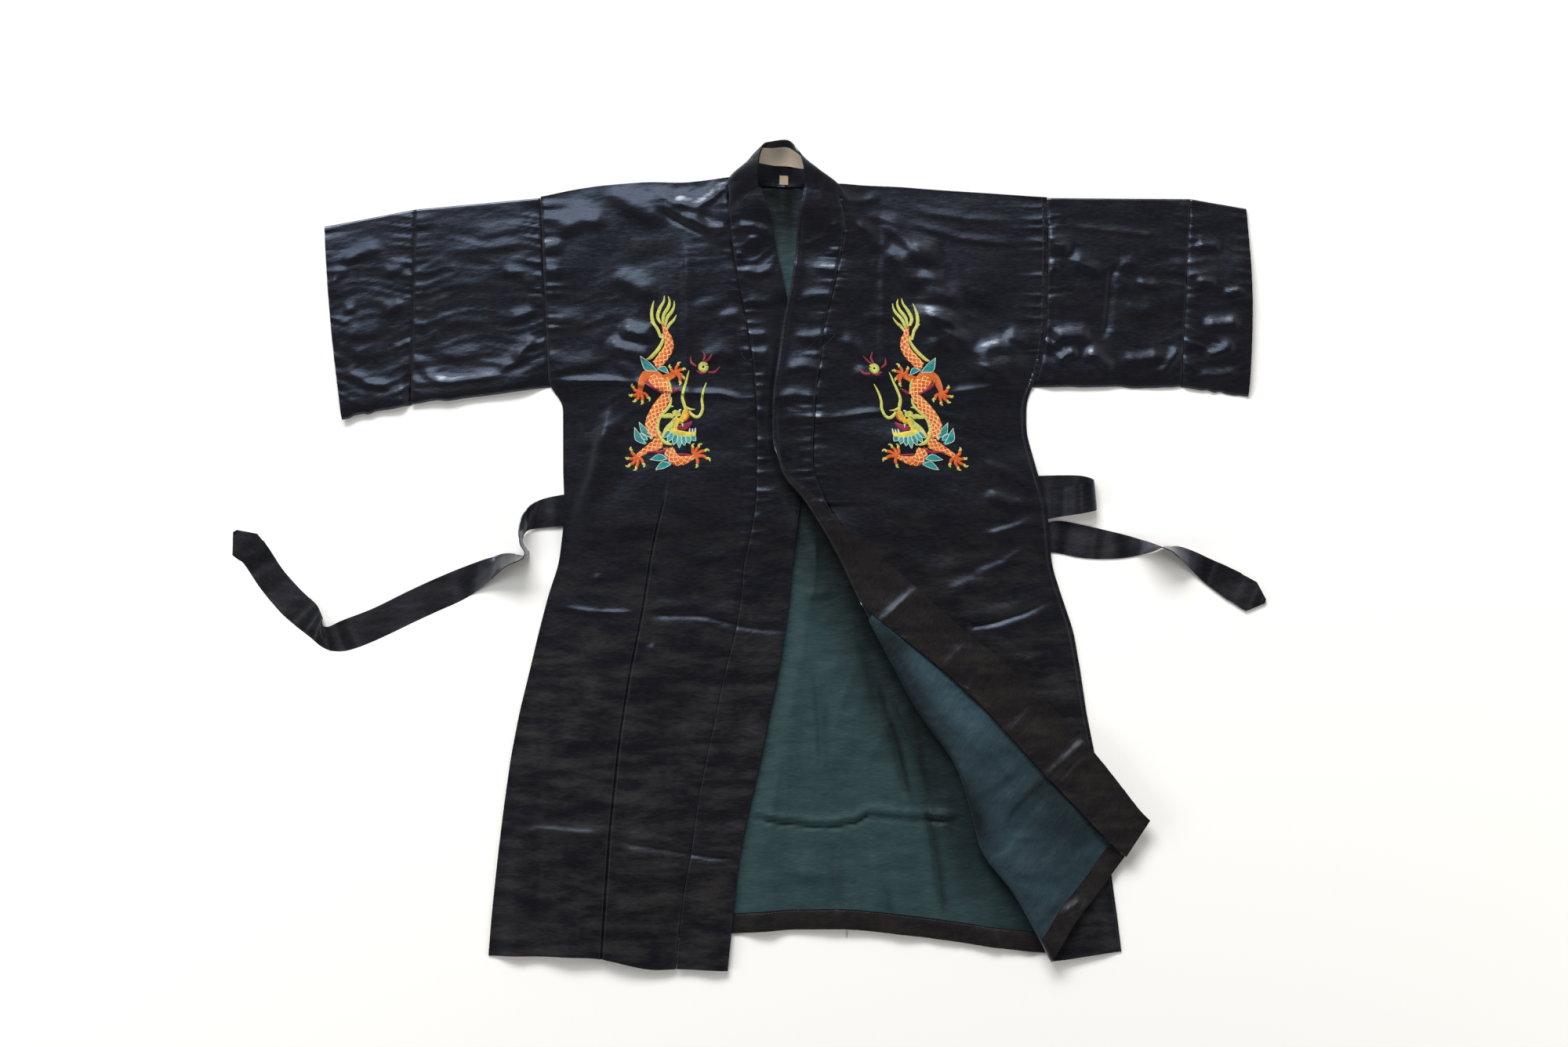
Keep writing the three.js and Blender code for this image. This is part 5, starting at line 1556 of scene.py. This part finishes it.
def belt_grid(sections, straight):
    """Points of the belt's middle layer: evenly spaced between straight sections, else curved but
    for the last three."""
    table = np.array(sections, dtype=float)
    last = len(table) - 1
    length = np.linalg.norm(np.diff(table.mean(axis=1), axis=0), axis=-1).sum()
    places = np.linspace(0, last, max(8, int(length / BELT_PITCH)))
    low, part = np.floor(places).astype(int), (places - np.floor(places))[:, None, None]
    plain = table[low] * (1 - part) + table[np.ceil(places).astype(int)] * part
    curved = cubic_along(table, places)
    rows = np.where((places > last - 1.6)[:, None, None] | straight, plain, curved)
    share = np.linspace(0, 1, BELT_LINES)[None, :, None]
    return rows[:, None, 0] * (1 - share) + rows[:, None, 1] * share, length


def make_belt(name, node, sections, seed, relief_height, straight=False):
    grid, length = belt_grid(sections, straight)
    normal = grid_normals(grid)
    run = np.linspace(0, length, len(grid))[:, None]
    over = np.linspace(0, BELT_WIDTH, BELT_LINES)[None, :]
    swell = 0.35 * (1 - (over / (BELT_WIDTH / 2) - 1) ** 4)
    wrinkles = ripples(over, run, 44, 15, seed) * (0.6 + 0.4 * noise(over, run, 90, 60, seed))
    relief = relief_height * (swell + 1.6 * wrinkles)
    grid = seen_from_above(grid + normal * (BELT_THICK / 2 + relief)[..., None])
    lowest = 0.1 + (BELT_THICK if np.median(normal[..., 2]) > 0 else 0)
    grid[..., 2] = np.maximum(grid[..., 2], lowest)
    across, along = ribbon_uv(grid)
    # painted light and shade: crosswise bands of tone in the belt's shade attribute stand in for the
    # highlights and shadows of its wrinkles
    painted_wrinkle_shading = 0.4 + 1.2 * ripples(over, run, 150, 15, seed + 1)
    cloth_sheet(
        name, *np.moveaxis(grid, -1, 0), along, across, SHEEN_PAINTED_BELT_SATIN, BELT_THICK, [node], "satin",
        (BELT_WIDTH, length), held="laid", rests=["floor"],
        shade=painted_wrinkle_shading + 0.2 * noise(over, run, 60, 55, seed + 2),
    )


# ---------------------------------------------------------------------------
# Embroidery, drawn for this robe: a dragon in thread, and its flaming pearl
# ---------------------------------------------------------------------------
ORANGE = (0.62, 0.11, 0.012)
AMBER = (0.72, 0.19, 0.03)
PALE = (0.93, 0.55, 0.24)
GOLD = (0.7, 0.4, 0.02)
YELLOW = (0.72, 0.6, 0.07)
LIME = (0.55, 0.56, 0.13)
TEAL = (0.008, 0.26, 0.26)
SEA = (0.03, 0.38, 0.36)
CREAM = (0.7, 0.74, 0.64)
CRIMSON = (0.24, 0.011, 0.045)
INK = (0.01, 0.01, 0.014)
THREAD_PITCH = 0.64


def smooth_path(points, step):
    """A smooth curve through points, at even steps."""
    table = np.array(points, dtype=float)
    fine = cubic_along(table, np.linspace(0, len(table) - 1, 40 * len(table)))
    runs = np.concatenate([[0], np.cumsum(np.hypot(*np.diff(fine, axis=0)[:, :2].T))])
    at = np.arange(0, runs[-1], step)
    return np.stack([np.interp(at, runs, fine[:, n]) for n in range(fine.shape[1])], axis=1)


class Stitches:
    """Collects thread stitches as start, end, colour and how far they stand out."""

    def __init__(self, seed):
        self.rows = []
        self.random = np.random.default_rng(seed)

    def add(self, start, end, colour, rise):
        shade = 1 + self.random.uniform(-0.14, 0.14)
        self.rows.append((*start, *end, *(channel * shade for channel in colour), rise))

    def fill(self, spine, colour, other=None, rise=0.5, slant=0.35, longest=8.0):
        """Satin stitch across a spine of (x, y, width); other tints its right-hand half."""
        path = smooth_path(spine, THREAD_PITCH)
        ahead = np.gradient(path[:, :2], axis=0)
        ahead /= np.maximum(np.hypot(*ahead.T)[:, None], 1e-9)
        for n, (x, y, width) in enumerate(path):
            if width < 0.5:
                continue
            tx, ty = ahead[n]
            cross = np.array([-ty + slant * tx, tx + slant * ty])
            cross /= np.hypot(*cross)
            parts = max(1, int(math.ceil(width / longest)))
            cuts = np.linspace(-0.5, 0.5, parts + 1) * width
            cuts[1:-1] += (n % 2 - 0.5) * longest * 0.4
            for k in range(parts):
                start = (x + cross[0] * cuts[k], y + cross[1] * cuts[k])
                end = (x + cross[0] * cuts[k + 1], y + cross[1] * cuts[k + 1])
                tone = other if other and cuts[k] + cuts[k + 1] < 0 else colour
                self.add(start, end, tone, rise)

    def outline(self, points, colour, rise=1.0, length=3.2):
        """Stem stitch along a path."""
        path = smooth_path(points, length * 0.75)
        for n in range(len(path) - 1):
            self.add(path[n][:2], path[n + 1][:2] + (path[n + 1][:2] - path[n][:2]) * 0.3, colour, rise)

    def net(self, spine, colour, pitch=8.0, rise=1.1):
        """Crossed threads laid slantwise over a filled body, in pieces that follow its bend."""
        step = 0.5
        path = smooth_path(spine, step)
        ahead = np.gradient(path[:, :2], axis=0)
        ahead /= np.maximum(np.hypot(*ahead.T)[:, None], 1e-9)
        side = np.stack([-ahead[:, 1], ahead[:, 0]], axis=1)
        rows = np.arange(len(path))
        for start in np.arange(-10, len(path) * step + 10, pitch):
            for sign in (-1, 1):
                across = sign * (rows * step - start) * 0.85
                held = rows[np.abs(across) < path[:, 2] / 2 - 0.5]
                if len(held) < 4:
                    continue
                places = path[held, :2] + side[held] * across[held, None]
                marks = np.linspace(0, len(held) - 1, 2 + len(held) // 12).astype(int)
                for first, last in zip(marks[:-1], marks[1:]):
                    for beside in (-0.3, 0.3):
                        apart = np.array([beside, beside * sign])
                        self.add(places[first] + apart, places[last] + apart, colour, rise)

    def leaf(self, root, tip, width, colour, edge, bend=0.15):
        """A pointed fin with a pale outline."""
        root, tip = np.array(root, float), np.array(tip, float)
        run = tip - root
        side = np.array([-run[1], run[0]])
        middle = root + run * 0.45 + side * bend
        self.fill([(*root, width * 0.5), (*middle, width), (*tip, 0.4)], colour, rise=0.45)
        for sign in (-1, 1):
            belly = middle + side / max(np.hypot(*side), 1e-9) * width * 0.5 * sign
            self.outline([(*root,), (*belly,), (*tip,)], edge, 0.9, 2.6)

    def claw(self, wrist, toes):
        """Spread toes, each with a hooked talon."""
        start = np.array(wrist, float)
        for toe in toes:
            run = np.array(toe, float) - start
            bow = np.array([-run[1], run[0]]) * 0.12
            knuckle = start + run * 0.45 + bow
            end = start + run * 0.76
            self.fill([(*start, 3.2), (*knuckle, 4.2), (*end, 3.3)], ORANGE, AMBER, rise=0.8)
            self.fill([(*end, 3.2), (*(start + run * 0.94), 3.2), (*(start + run * 1.03 - bow * 1.6), 0.7)],
                      LIME, YELLOW, rise=0.95)


TAIL_TUFT = [
    [(45, 189, 3), (38, 199, 4.6), (36, 210, 4.4), (37, 220, 3), (39, 228, 0.6)],
    [(48, 198, 3), (44, 207, 4.6), (47, 218, 4.6), (52, 227, 3), (53, 235, 0.6)],
    [(51, 197, 3), (52, 209, 4.6), (58, 219, 4.6), (60, 227, 3), (58, 234, 0.6)],
    [(54, 195, 3), (57, 206, 4.6), (63, 214, 4.2), (66, 221, 2.6), (66, 228, 0.6)],
    [(56, 190, 3), (60, 197, 4.2), (65, 202, 3.2), (69, 209, 0.6)],
    [(48, 179, 3), (44, 190, 4.2), (40, 196, 3), (34, 200, 0.6)],
]
TAIL = [(51, 197, 4), (55, 186, 8), (59, 175, 11.5), (58, 164, 14), (50, 152, 15), (41, 141, 13)]
THIGH = [(33, 125, 9), (41, 122, 16), (49, 116, 18), (57, 109, 13), (61, 104, 6)]
BODY_LOWER = [
    (57, 103, 10), (54, 98, 14), (48, 89, 17), (41, 78, 17.5), (36, 67, 17), (36, 57, 16), (42, 47, 18),
]
LEG_LEFT = [(48, 41, 18), (40, 35, 15), (31, 30, 11), (23, 25, 8), (17, 21, 6)]
LEG_RIGHT = [(59, 31, 15), (62, 22, 16), (69, 15, 15), (78, 14.5, 12), (87, 17.5, 8.5), (93, 20, 6)]
WHISKERS = [
    [(81, 84, 4), (79, 91, 4.6), (77, 99, 4), (79, 110, 3.6), (82, 120, 3), (84, 128, 2.2), (86, 135, 0.7)],
    [(86, 81, 3), (90, 76, 4), (96, 73, 4.2), (101, 76, 4), (104, 85, 3.8), (103, 96, 3.4),
     (105, 108, 2.8), (109, 119, 0.7)],
]
FEET = [
    # wrist, then the ends of its toes
    ((20, 106), ((9, 115), (7, 101), (13, 93), (24, 91), (34, 97))),
    ((69, 131), ((59, 141), (72, 146), (80, 138), (80, 125), (75, 117))),
    ((95, 20), ((90, 36), (100, 37), (111, 30), (114, 17), (97, 6))),
    ((16, 20), ((7, 31), (2, 17), (4, 6), (15, 2), (27, 8))),
]
FINS = [
    # root, tip, width, bend
    ((43, 134), (21, 154), 11, 0.12), ((44, 138), (59, 131), 7, 0.16),
    ((38, 46), (19, 66), 9, 0.12), ((28, 37), (13, 59), 9, 0.14), ((30, 42), (20, 52), 6, 0.0),
    ((57, 17), (34, 16), 9, -0.1), ((62, 10), (41, 2), 9, -0.12),
]
BEARD = [
    ((60, 55), (52, 45)), ((64, 53), (57, 39)), ((69, 51), (65, 35)), ((73, 50), (73, 31)),
    ((78, 49), (80, 34)), ((83, 48), (87, 37)), ((89, 48), (95, 41)),
]


def draw_dragon(seed):
    """One dragon in its own box, 118 wide and 235 tall, its head to the right."""
    s = Stitches(seed)
    for tongue in TAIL_TUFT:
        s.fill(tongue, LIME, YELLOW)
    s.fill(TAIL, ORANGE, AMBER)
    s.net(TAIL, PALE)
    s.fill([(50, 184, 1.5), (51, 176, 3.8), (47, 167, 4.8), (41, 159, 5), (34, 152, 4.4),
            (29, 150, 0.7)], LIME, YELLOW, 0.9)
    # hind leg, thigh and fore arm
    s.fill([(46, 125, 12), (37, 131, 14), (28, 129, 12), (23, 120, 10), (20, 105, 6)], ORANGE, AMBER)
    s.fill([(51, 122, 13), (60, 127, 10), (68, 130, 7)], ORANGE, AMBER)
    s.fill(THIGH, AMBER, ORANGE, 0.7)
    s.net(THIGH, PALE, rise=1.3)
    s.fill([(56, 126, 2), (60, 117, 3.2), (61, 108, 3), (60, 101, 2)], LIME, YELLOW, 1.0)
    s.fill([(26, 121, 2), (32, 116, 4), (41, 110, 3.4), (52, 104, 1.6)], CRIMSON, rise=0.9)
    s.fill([(61, 104, 1), (67, 108, 4), (71, 110, 3), (75, 113, 0.7)], CRIMSON, rise=0.6)
    # lower body with its crest
    s.fill(BODY_LOWER, ORANGE, AMBER)
    s.net(BODY_LOWER, PALE)
    s.fill([(62, 99, 1.4), (61, 91, 3.4), (56, 83, 4), (49, 76, 4.6), (45, 68, 4.2), (44, 57, 4.2),
            (47, 47, 4.6), (54, 39, 4.6), (63, 36, 2.4)], LIME, YELLOW, 1.0)
    s.fill([(57, 85, 2), (61, 87, 2.4), (65, 87, 0.6)], LIME, rise=1.0)
    # fore legs
    s.fill(LEG_LEFT, AMBER, ORANGE, 0.6)
    s.net(LEG_LEFT, PALE, rise=1.2)
    s.fill(LEG_RIGHT, AMBER, ORANGE, 0.7)
    s.net(LEG_RIGHT, PALE, rise=1.3)
    s.fill([(26, 24, 1.4), (36, 27, 3.6), (45, 26, 3.6), (53, 28, 3.6), (57, 33, 1.6)], CRIMSON, rise=1.1)
    s.fill([(68, 23, 1.2), (78, 22.5, 3), (90, 22, 1.4)], CRIMSON, rise=1.1)
    for root, tip, width, bend in FINS:
        s.leaf(root, tip, width, TEAL, CREAM, bend)
    for wrist, toes in FEET:
        s.claw(wrist, toes)
    # beard, mane, jaws and brow
    for n, (root, tip) in enumerate(BEARD):
        s.leaf(root, tip, 7.5, SEA if n % 2 else TEAL, CREAM, 0.0)
    s.fill([(46, 74, 3), (53, 74, 4.8), (59, 75, 7), (65, 73, 5)], LIME, YELLOW, 0.9)
    s.fill([(64, 64, 8), (57, 58, 7), (53, 52, 5), (50, 46, 2)], LIME, YELLOW, 0.9)
    s.fill([(70, 60, 5), (76, 58.5, 9), (83, 61, 8), (88, 64.5, 4.5), (90, 67, 1)], CRIMSON, rise=0.9)
    s.fill([(61, 56, 6), (69, 52, 8.5), (79, 50, 8), (88, 49.5, 6.6), (95, 51, 5)], YELLOW, LIME, 1.1)
    s.fill([(71, 71, 8), (67, 65, 11), (66, 58, 9), (67, 53, 5)], YELLOW, LIME, 1.0)
    s.fill([(65, 81, 4), (69, 78, 10), (72, 74, 6)], LIME, YELLOW, 1.2)
    s.fill([(69, 70, 6), (74, 68, 8), (78, 72, 8), (81, 78, 9), (82, 84, 4)], GOLD, YELLOW, 1.1)
    s.fill([(84, 80, 1.4), (85, 74, 3), (81, 68, 2)], ORANGE, rise=1.2)
    s.fill([(82, 86, 3), (87, 83.5, 2.6), (94, 83, 0.6)], LIME, rise=1.0)
    for x, foot, top in ((77, 64, 60), (86.5, 52.5, 58), (90.3, 52, 57.5), (94, 53, 58.5)):
        s.fill([(x, foot, 1.9), (x + 0.3, (foot + top) / 2, 1.9), (x + 0.5, top, 0.7)], CREAM, rise=1.4)
    s.fill([(72.5, 81.5, 3.2), (75.5, 82, 3.2)], CREAM, rise=1.4)
    s.fill([(73.6, 81.6, 1.7), (75.2, 81.9, 1.7)], INK, rise=1.7)
    for whisker in WHISKERS:
        s.fill(whisker, LIME, YELLOW, 1.0)
    # flaming pearl
    turns = np.linspace(0.5, 2 * math.pi + 0.3, 12)
    ring = [(105 + 4.3 * math.cos(turn), 140 + 4.3 * math.sin(turn), 5.4) for turn in turns]
    s.fill(ring, LIME, YELLOW, 0.8, slant=0.0)
    for flame in (
        [(95, 141, 2), (89, 146, 3.4), (88, 154, 0.6)], [(105, 148, 3), (107, 154, 2.6), (104, 162, 0.6)],
        [(108, 147, 2), (113, 151, 3), (117, 157, 0.6)], [(112, 133, 2), (120, 133, 3.4), (127, 140, 0.6)],
        [(96, 135, 1.4), (102, 131.5, 3), (109, 132.5, 1)],
    ):
        s.fill(flame, CRIMSON, rise=0.7)
    return np.array(s.rows)


THREAD_WIDTH = 0.72


def thread_tree():
    """Geometry Nodes: gives every stitch line a rounded thread."""
    tree = bpy.data.node_groups.new("thread stitches", "GeometryNodeTree")
    tree.interface.new_socket("Geometry", in_out="INPUT", socket_type="NodeSocketGeometry")
    width = tree.interface.new_socket("Thread Width", in_out="INPUT", socket_type="NodeSocketFloat")
    width.default_value = THREAD_WIDTH * MM
    sides = tree.interface.new_socket("Thread Sides", in_out="INPUT", socket_type="NodeSocketInt")
    sides.default_value = 5
    finish = tree.interface.new_socket("Finish", in_out="INPUT", socket_type="NodeSocketMaterial")
    finish.default_value = THREAD
    tree.interface.new_socket("Geometry", in_out="OUTPUT", socket_type="NodeSocketGeometry")
    given, out = tree.nodes.new("NodeGroupInput"), tree.nodes.new("NodeGroupOutput")
    to_curve = tree.nodes.new("GeometryNodeMeshToCurve")
    profile = tree.nodes.new("GeometryNodeCurvePrimitiveCircle")
    half = tree.nodes.new("ShaderNodeMath")
    half.operation = "MULTIPLY"
    half.inputs[1].default_value = 0.5
    to_mesh = tree.nodes.new("GeometryNodeCurveToMesh")
    to_mesh.inputs["Fill Caps"].default_value = True
    realize = tree.nodes.new("GeometryNodeRealizeInstances")
    paint = tree.nodes.new("GeometryNodeSetMaterial")
    link = tree.links.new
    link(given.outputs["Geometry"], to_curve.inputs["Mesh"])
    link(given.outputs["Thread Width"], half.inputs[0])
    link(half.outputs[0], profile.inputs["Radius"])
    link(given.outputs["Thread Sides"], profile.inputs["Resolution"])
    link(to_curve.outputs["Curve"], to_mesh.inputs["Curve"])
    link(profile.outputs["Curve"], to_mesh.inputs["Profile Curve"])
    link(to_mesh.outputs["Mesh"], realize.inputs["Geometry"])
    link(realize.outputs["Geometry"], paint.inputs["Geometry"])
    link(given.outputs["Finish"], paint.inputs["Material"])
    link(paint.outputs["Geometry"], out.inputs["Geometry"])
    return tree


def threads_object(name, lines, colours, finish, width):
    """Turns stitch lines, each a list of points in millimetres, into threads that ride on the robe."""
    verts = np.concatenate(lines)
    edges, base = [], 0
    for points in lines:
        edges.extend((base + n, base + n + 1) for n in range(len(points) - 1))
        base += len(points)
    mesh = bpy.data.meshes.new(name + "_lines")
    mesh.from_pydata((verts * MM).tolist(), edges, [])
    if colours is not None:
        own = mesh.attributes.new("thread_colour", "FLOAT_COLOR", "POINT")
        filled = [np.tile((*colour, 1.0), (len(points), 1)) for points, colour in zip(lines, colours)]
        own.data.foreach_set("color", np.concatenate(filled).astype(np.float32).ravel())
    holder = new_object(name + "_lines", mesh)
    nodes = holder.modifiers.new("threads", "NODES")
    nodes.node_group = THREAD_TREE
    items = THREAD_TREE.interface.items_tree
    sockets = {item.name: item.identifier for item in items if item.in_out == "INPUT"}
    nodes[sockets["Thread Width"]] = width * MM
    nodes[sockets["Finish"]] = finish
    graph = bpy.context.evaluated_depsgraph_get()
    made = bpy.data.meshes.new_from_object(holder.evaluated_get(graph))
    made.name = name
    made.polygons.foreach_set("use_smooth", [True] * len(made.polygons))
    bpy.data.objects.remove(holder)
    obj = new_object(name, made)
    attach(obj, "root")


THREAD_TREE = thread_tree()


def make_dragon(name, corner, sign, lean, tall, face, seed):
    """Lays a dragon's stitches on a front's face, from its box's lower outer corner; sign -1 mirrors
    it, lean shifts it sideways by height, and tall scales its height."""
    rows = draw_dragon(seed)

    def placed(x, y):
        return corner[0] + sign * x + lean * y, corner[1] + tall * y

    (x0, y0), (x1, y1) = placed(*rows[:, 0:2].T), placed(*rows[:, 2:4].T)
    rise = rows[:, 7]
    at_ends = 0.25 * rise - 0.1
    lines = np.stack([
        (x0, y0, face(x0, y0) + at_ends),
        ((x0 + x1) / 2, (y0 + y1) / 2, face((x0 + x1) / 2, (y0 + y1) / 2) + 0.15 + 0.75 * rise),
        (x1, y1, face(x1, y1) + at_ends),
    ]).transpose(2, 0, 1)
    threads_object(name, lines, rows[:, 4:7], THREAD, THREAD_WIDTH)


# ---------------------------------------------------------------------------
# Sewing stitches along seams and hems
# ---------------------------------------------------------------------------
def running_stitches(points, length=3.0, gap=1.4):
    """Splits a path in millimetres into separate short stitches."""
    path = np.asarray(points, float)
    runs = np.concatenate([[0], np.cumsum(np.linalg.norm(np.diff(path, axis=0), axis=1))])
    starts = np.arange(0, runs[-1] - length, length + gap)
    lines = []
    for start in starts:
        at = np.array([start, start + length / 2, start + length])
        stitch = np.stack([np.interp(at, runs, path[:, n]) for n in range(3)], axis=1)
        stitch[0, 2] -= 0.25
        stitch[2, 2] -= 0.25
        lines.append(stitch)
    return lines


def on_face(xs, ys, face, rise=0.25):
    xs, ys = np.asarray(xs, float), np.asarray(ys, float)
    return np.stack([xs, ys, face(xs, ys) + rise], axis=1)


LOOSE_THREAD = [(78.6, -505.5, 1.6), (79.0, -512.0, 0.7), (78.8, -521.5, 0.35)]
LEFT_BOX_STITCH = [(-68, 291), (-50, 291), (-46, 256), (-60, 256), (-68, 291)]
RIGHT_BOX_STITCH = [(44, 285), (62, 285), (24, 250), (10, 250), (44, 285)]


def make_sewing(label_grid, tag_grid):
    """Stitches along the back hem's facing, on the bands and around the labels, and a loose end."""
    xs = np.linspace(-70, 300, 160)
    ys = back_facing_top(xs) - 2.0
    share = (ys - line(HEM_BACK, xs)) / HEM_FACING_DEPTH
    face = lining_face(xs, ys) + 0.1 + 0.9 * (1 - (2 * share - 1) ** 4) + 0.2
    rows = running_stitches(np.stack([xs, ys, face], axis=1))
    for corners, band_face in ((LEFT_BOX_STITCH, left_band_face), (RIGHT_BOX_STITCH, right_band_face)):
        path = smooth_path([(*corner, 0) for corner in corners], 1.5)
        rows += running_stitches(on_face(path[:, 0], path[:, 1], band_face), 2.6, 1.2)
    rows.append(np.array(LOOSE_THREAD))
    threads_object("sewing_stitches", rows, None, SEWING, 0.5)
    above = [0, 0, 0.3]
    label_rows = []
    for edge, length, gap in (
        (label_grid[:, -1], 1.8, 1.0), (label_grid[:, 0], 1.8, 1.0), (tag_grid[:, -1], 1.4, 0.8),
    ):
        label_rows += running_stitches(edge + above, length, gap)
    threads_object("label_stitches", label_rows, None, LABEL_SEWING, 0.4)


# ---------------------------------------------------------------------------
# The robe
# ---------------------------------------------------------------------------
make_back()
make_back_lining()
make_back_hem_facing()
make_left_front()
make_left_band()
make_right_front()
make_right_band()
make_right_front_lining()
make_right_hem_facing()
make_sleeves()
make_neck_band()
label_points = make_label(
    "neck_label_cloth", "neck_label", (5.25, 8.8, 30), (0.45, 0.85, 12), 2.4, LABEL
)
tag_points = make_label("size_tag_cloth", "size_tag", (6.4, 7.0, 10), (0.05, 0.24, 8), 3.0, SHADED_TAG)
make_belt("belt_left_cloth", "belt_left", BELT_LEFT, 181, 1.3)
make_belt("belt_back_cloth", "belt_back", BELT_BACK, 183, 0.1, straight=True)
make_belt("belt_right_loop_cloth", "belt_right_loop", BELT_RIGHT_LOOP, 185, 0.15)
make_belt("belt_right_tail_cloth", "belt_right_tail", BELT_RIGHT_TAIL, 187, 0.4)
make_dragon("left_dragon", (-218, 103), 1, 0.0, 1.0, left_face, 5)
make_dragon("right_dragon", (243.5, 103), -1, -0.165, 0.985, right_face, 6)
make_sewing(label_points, tag_points)
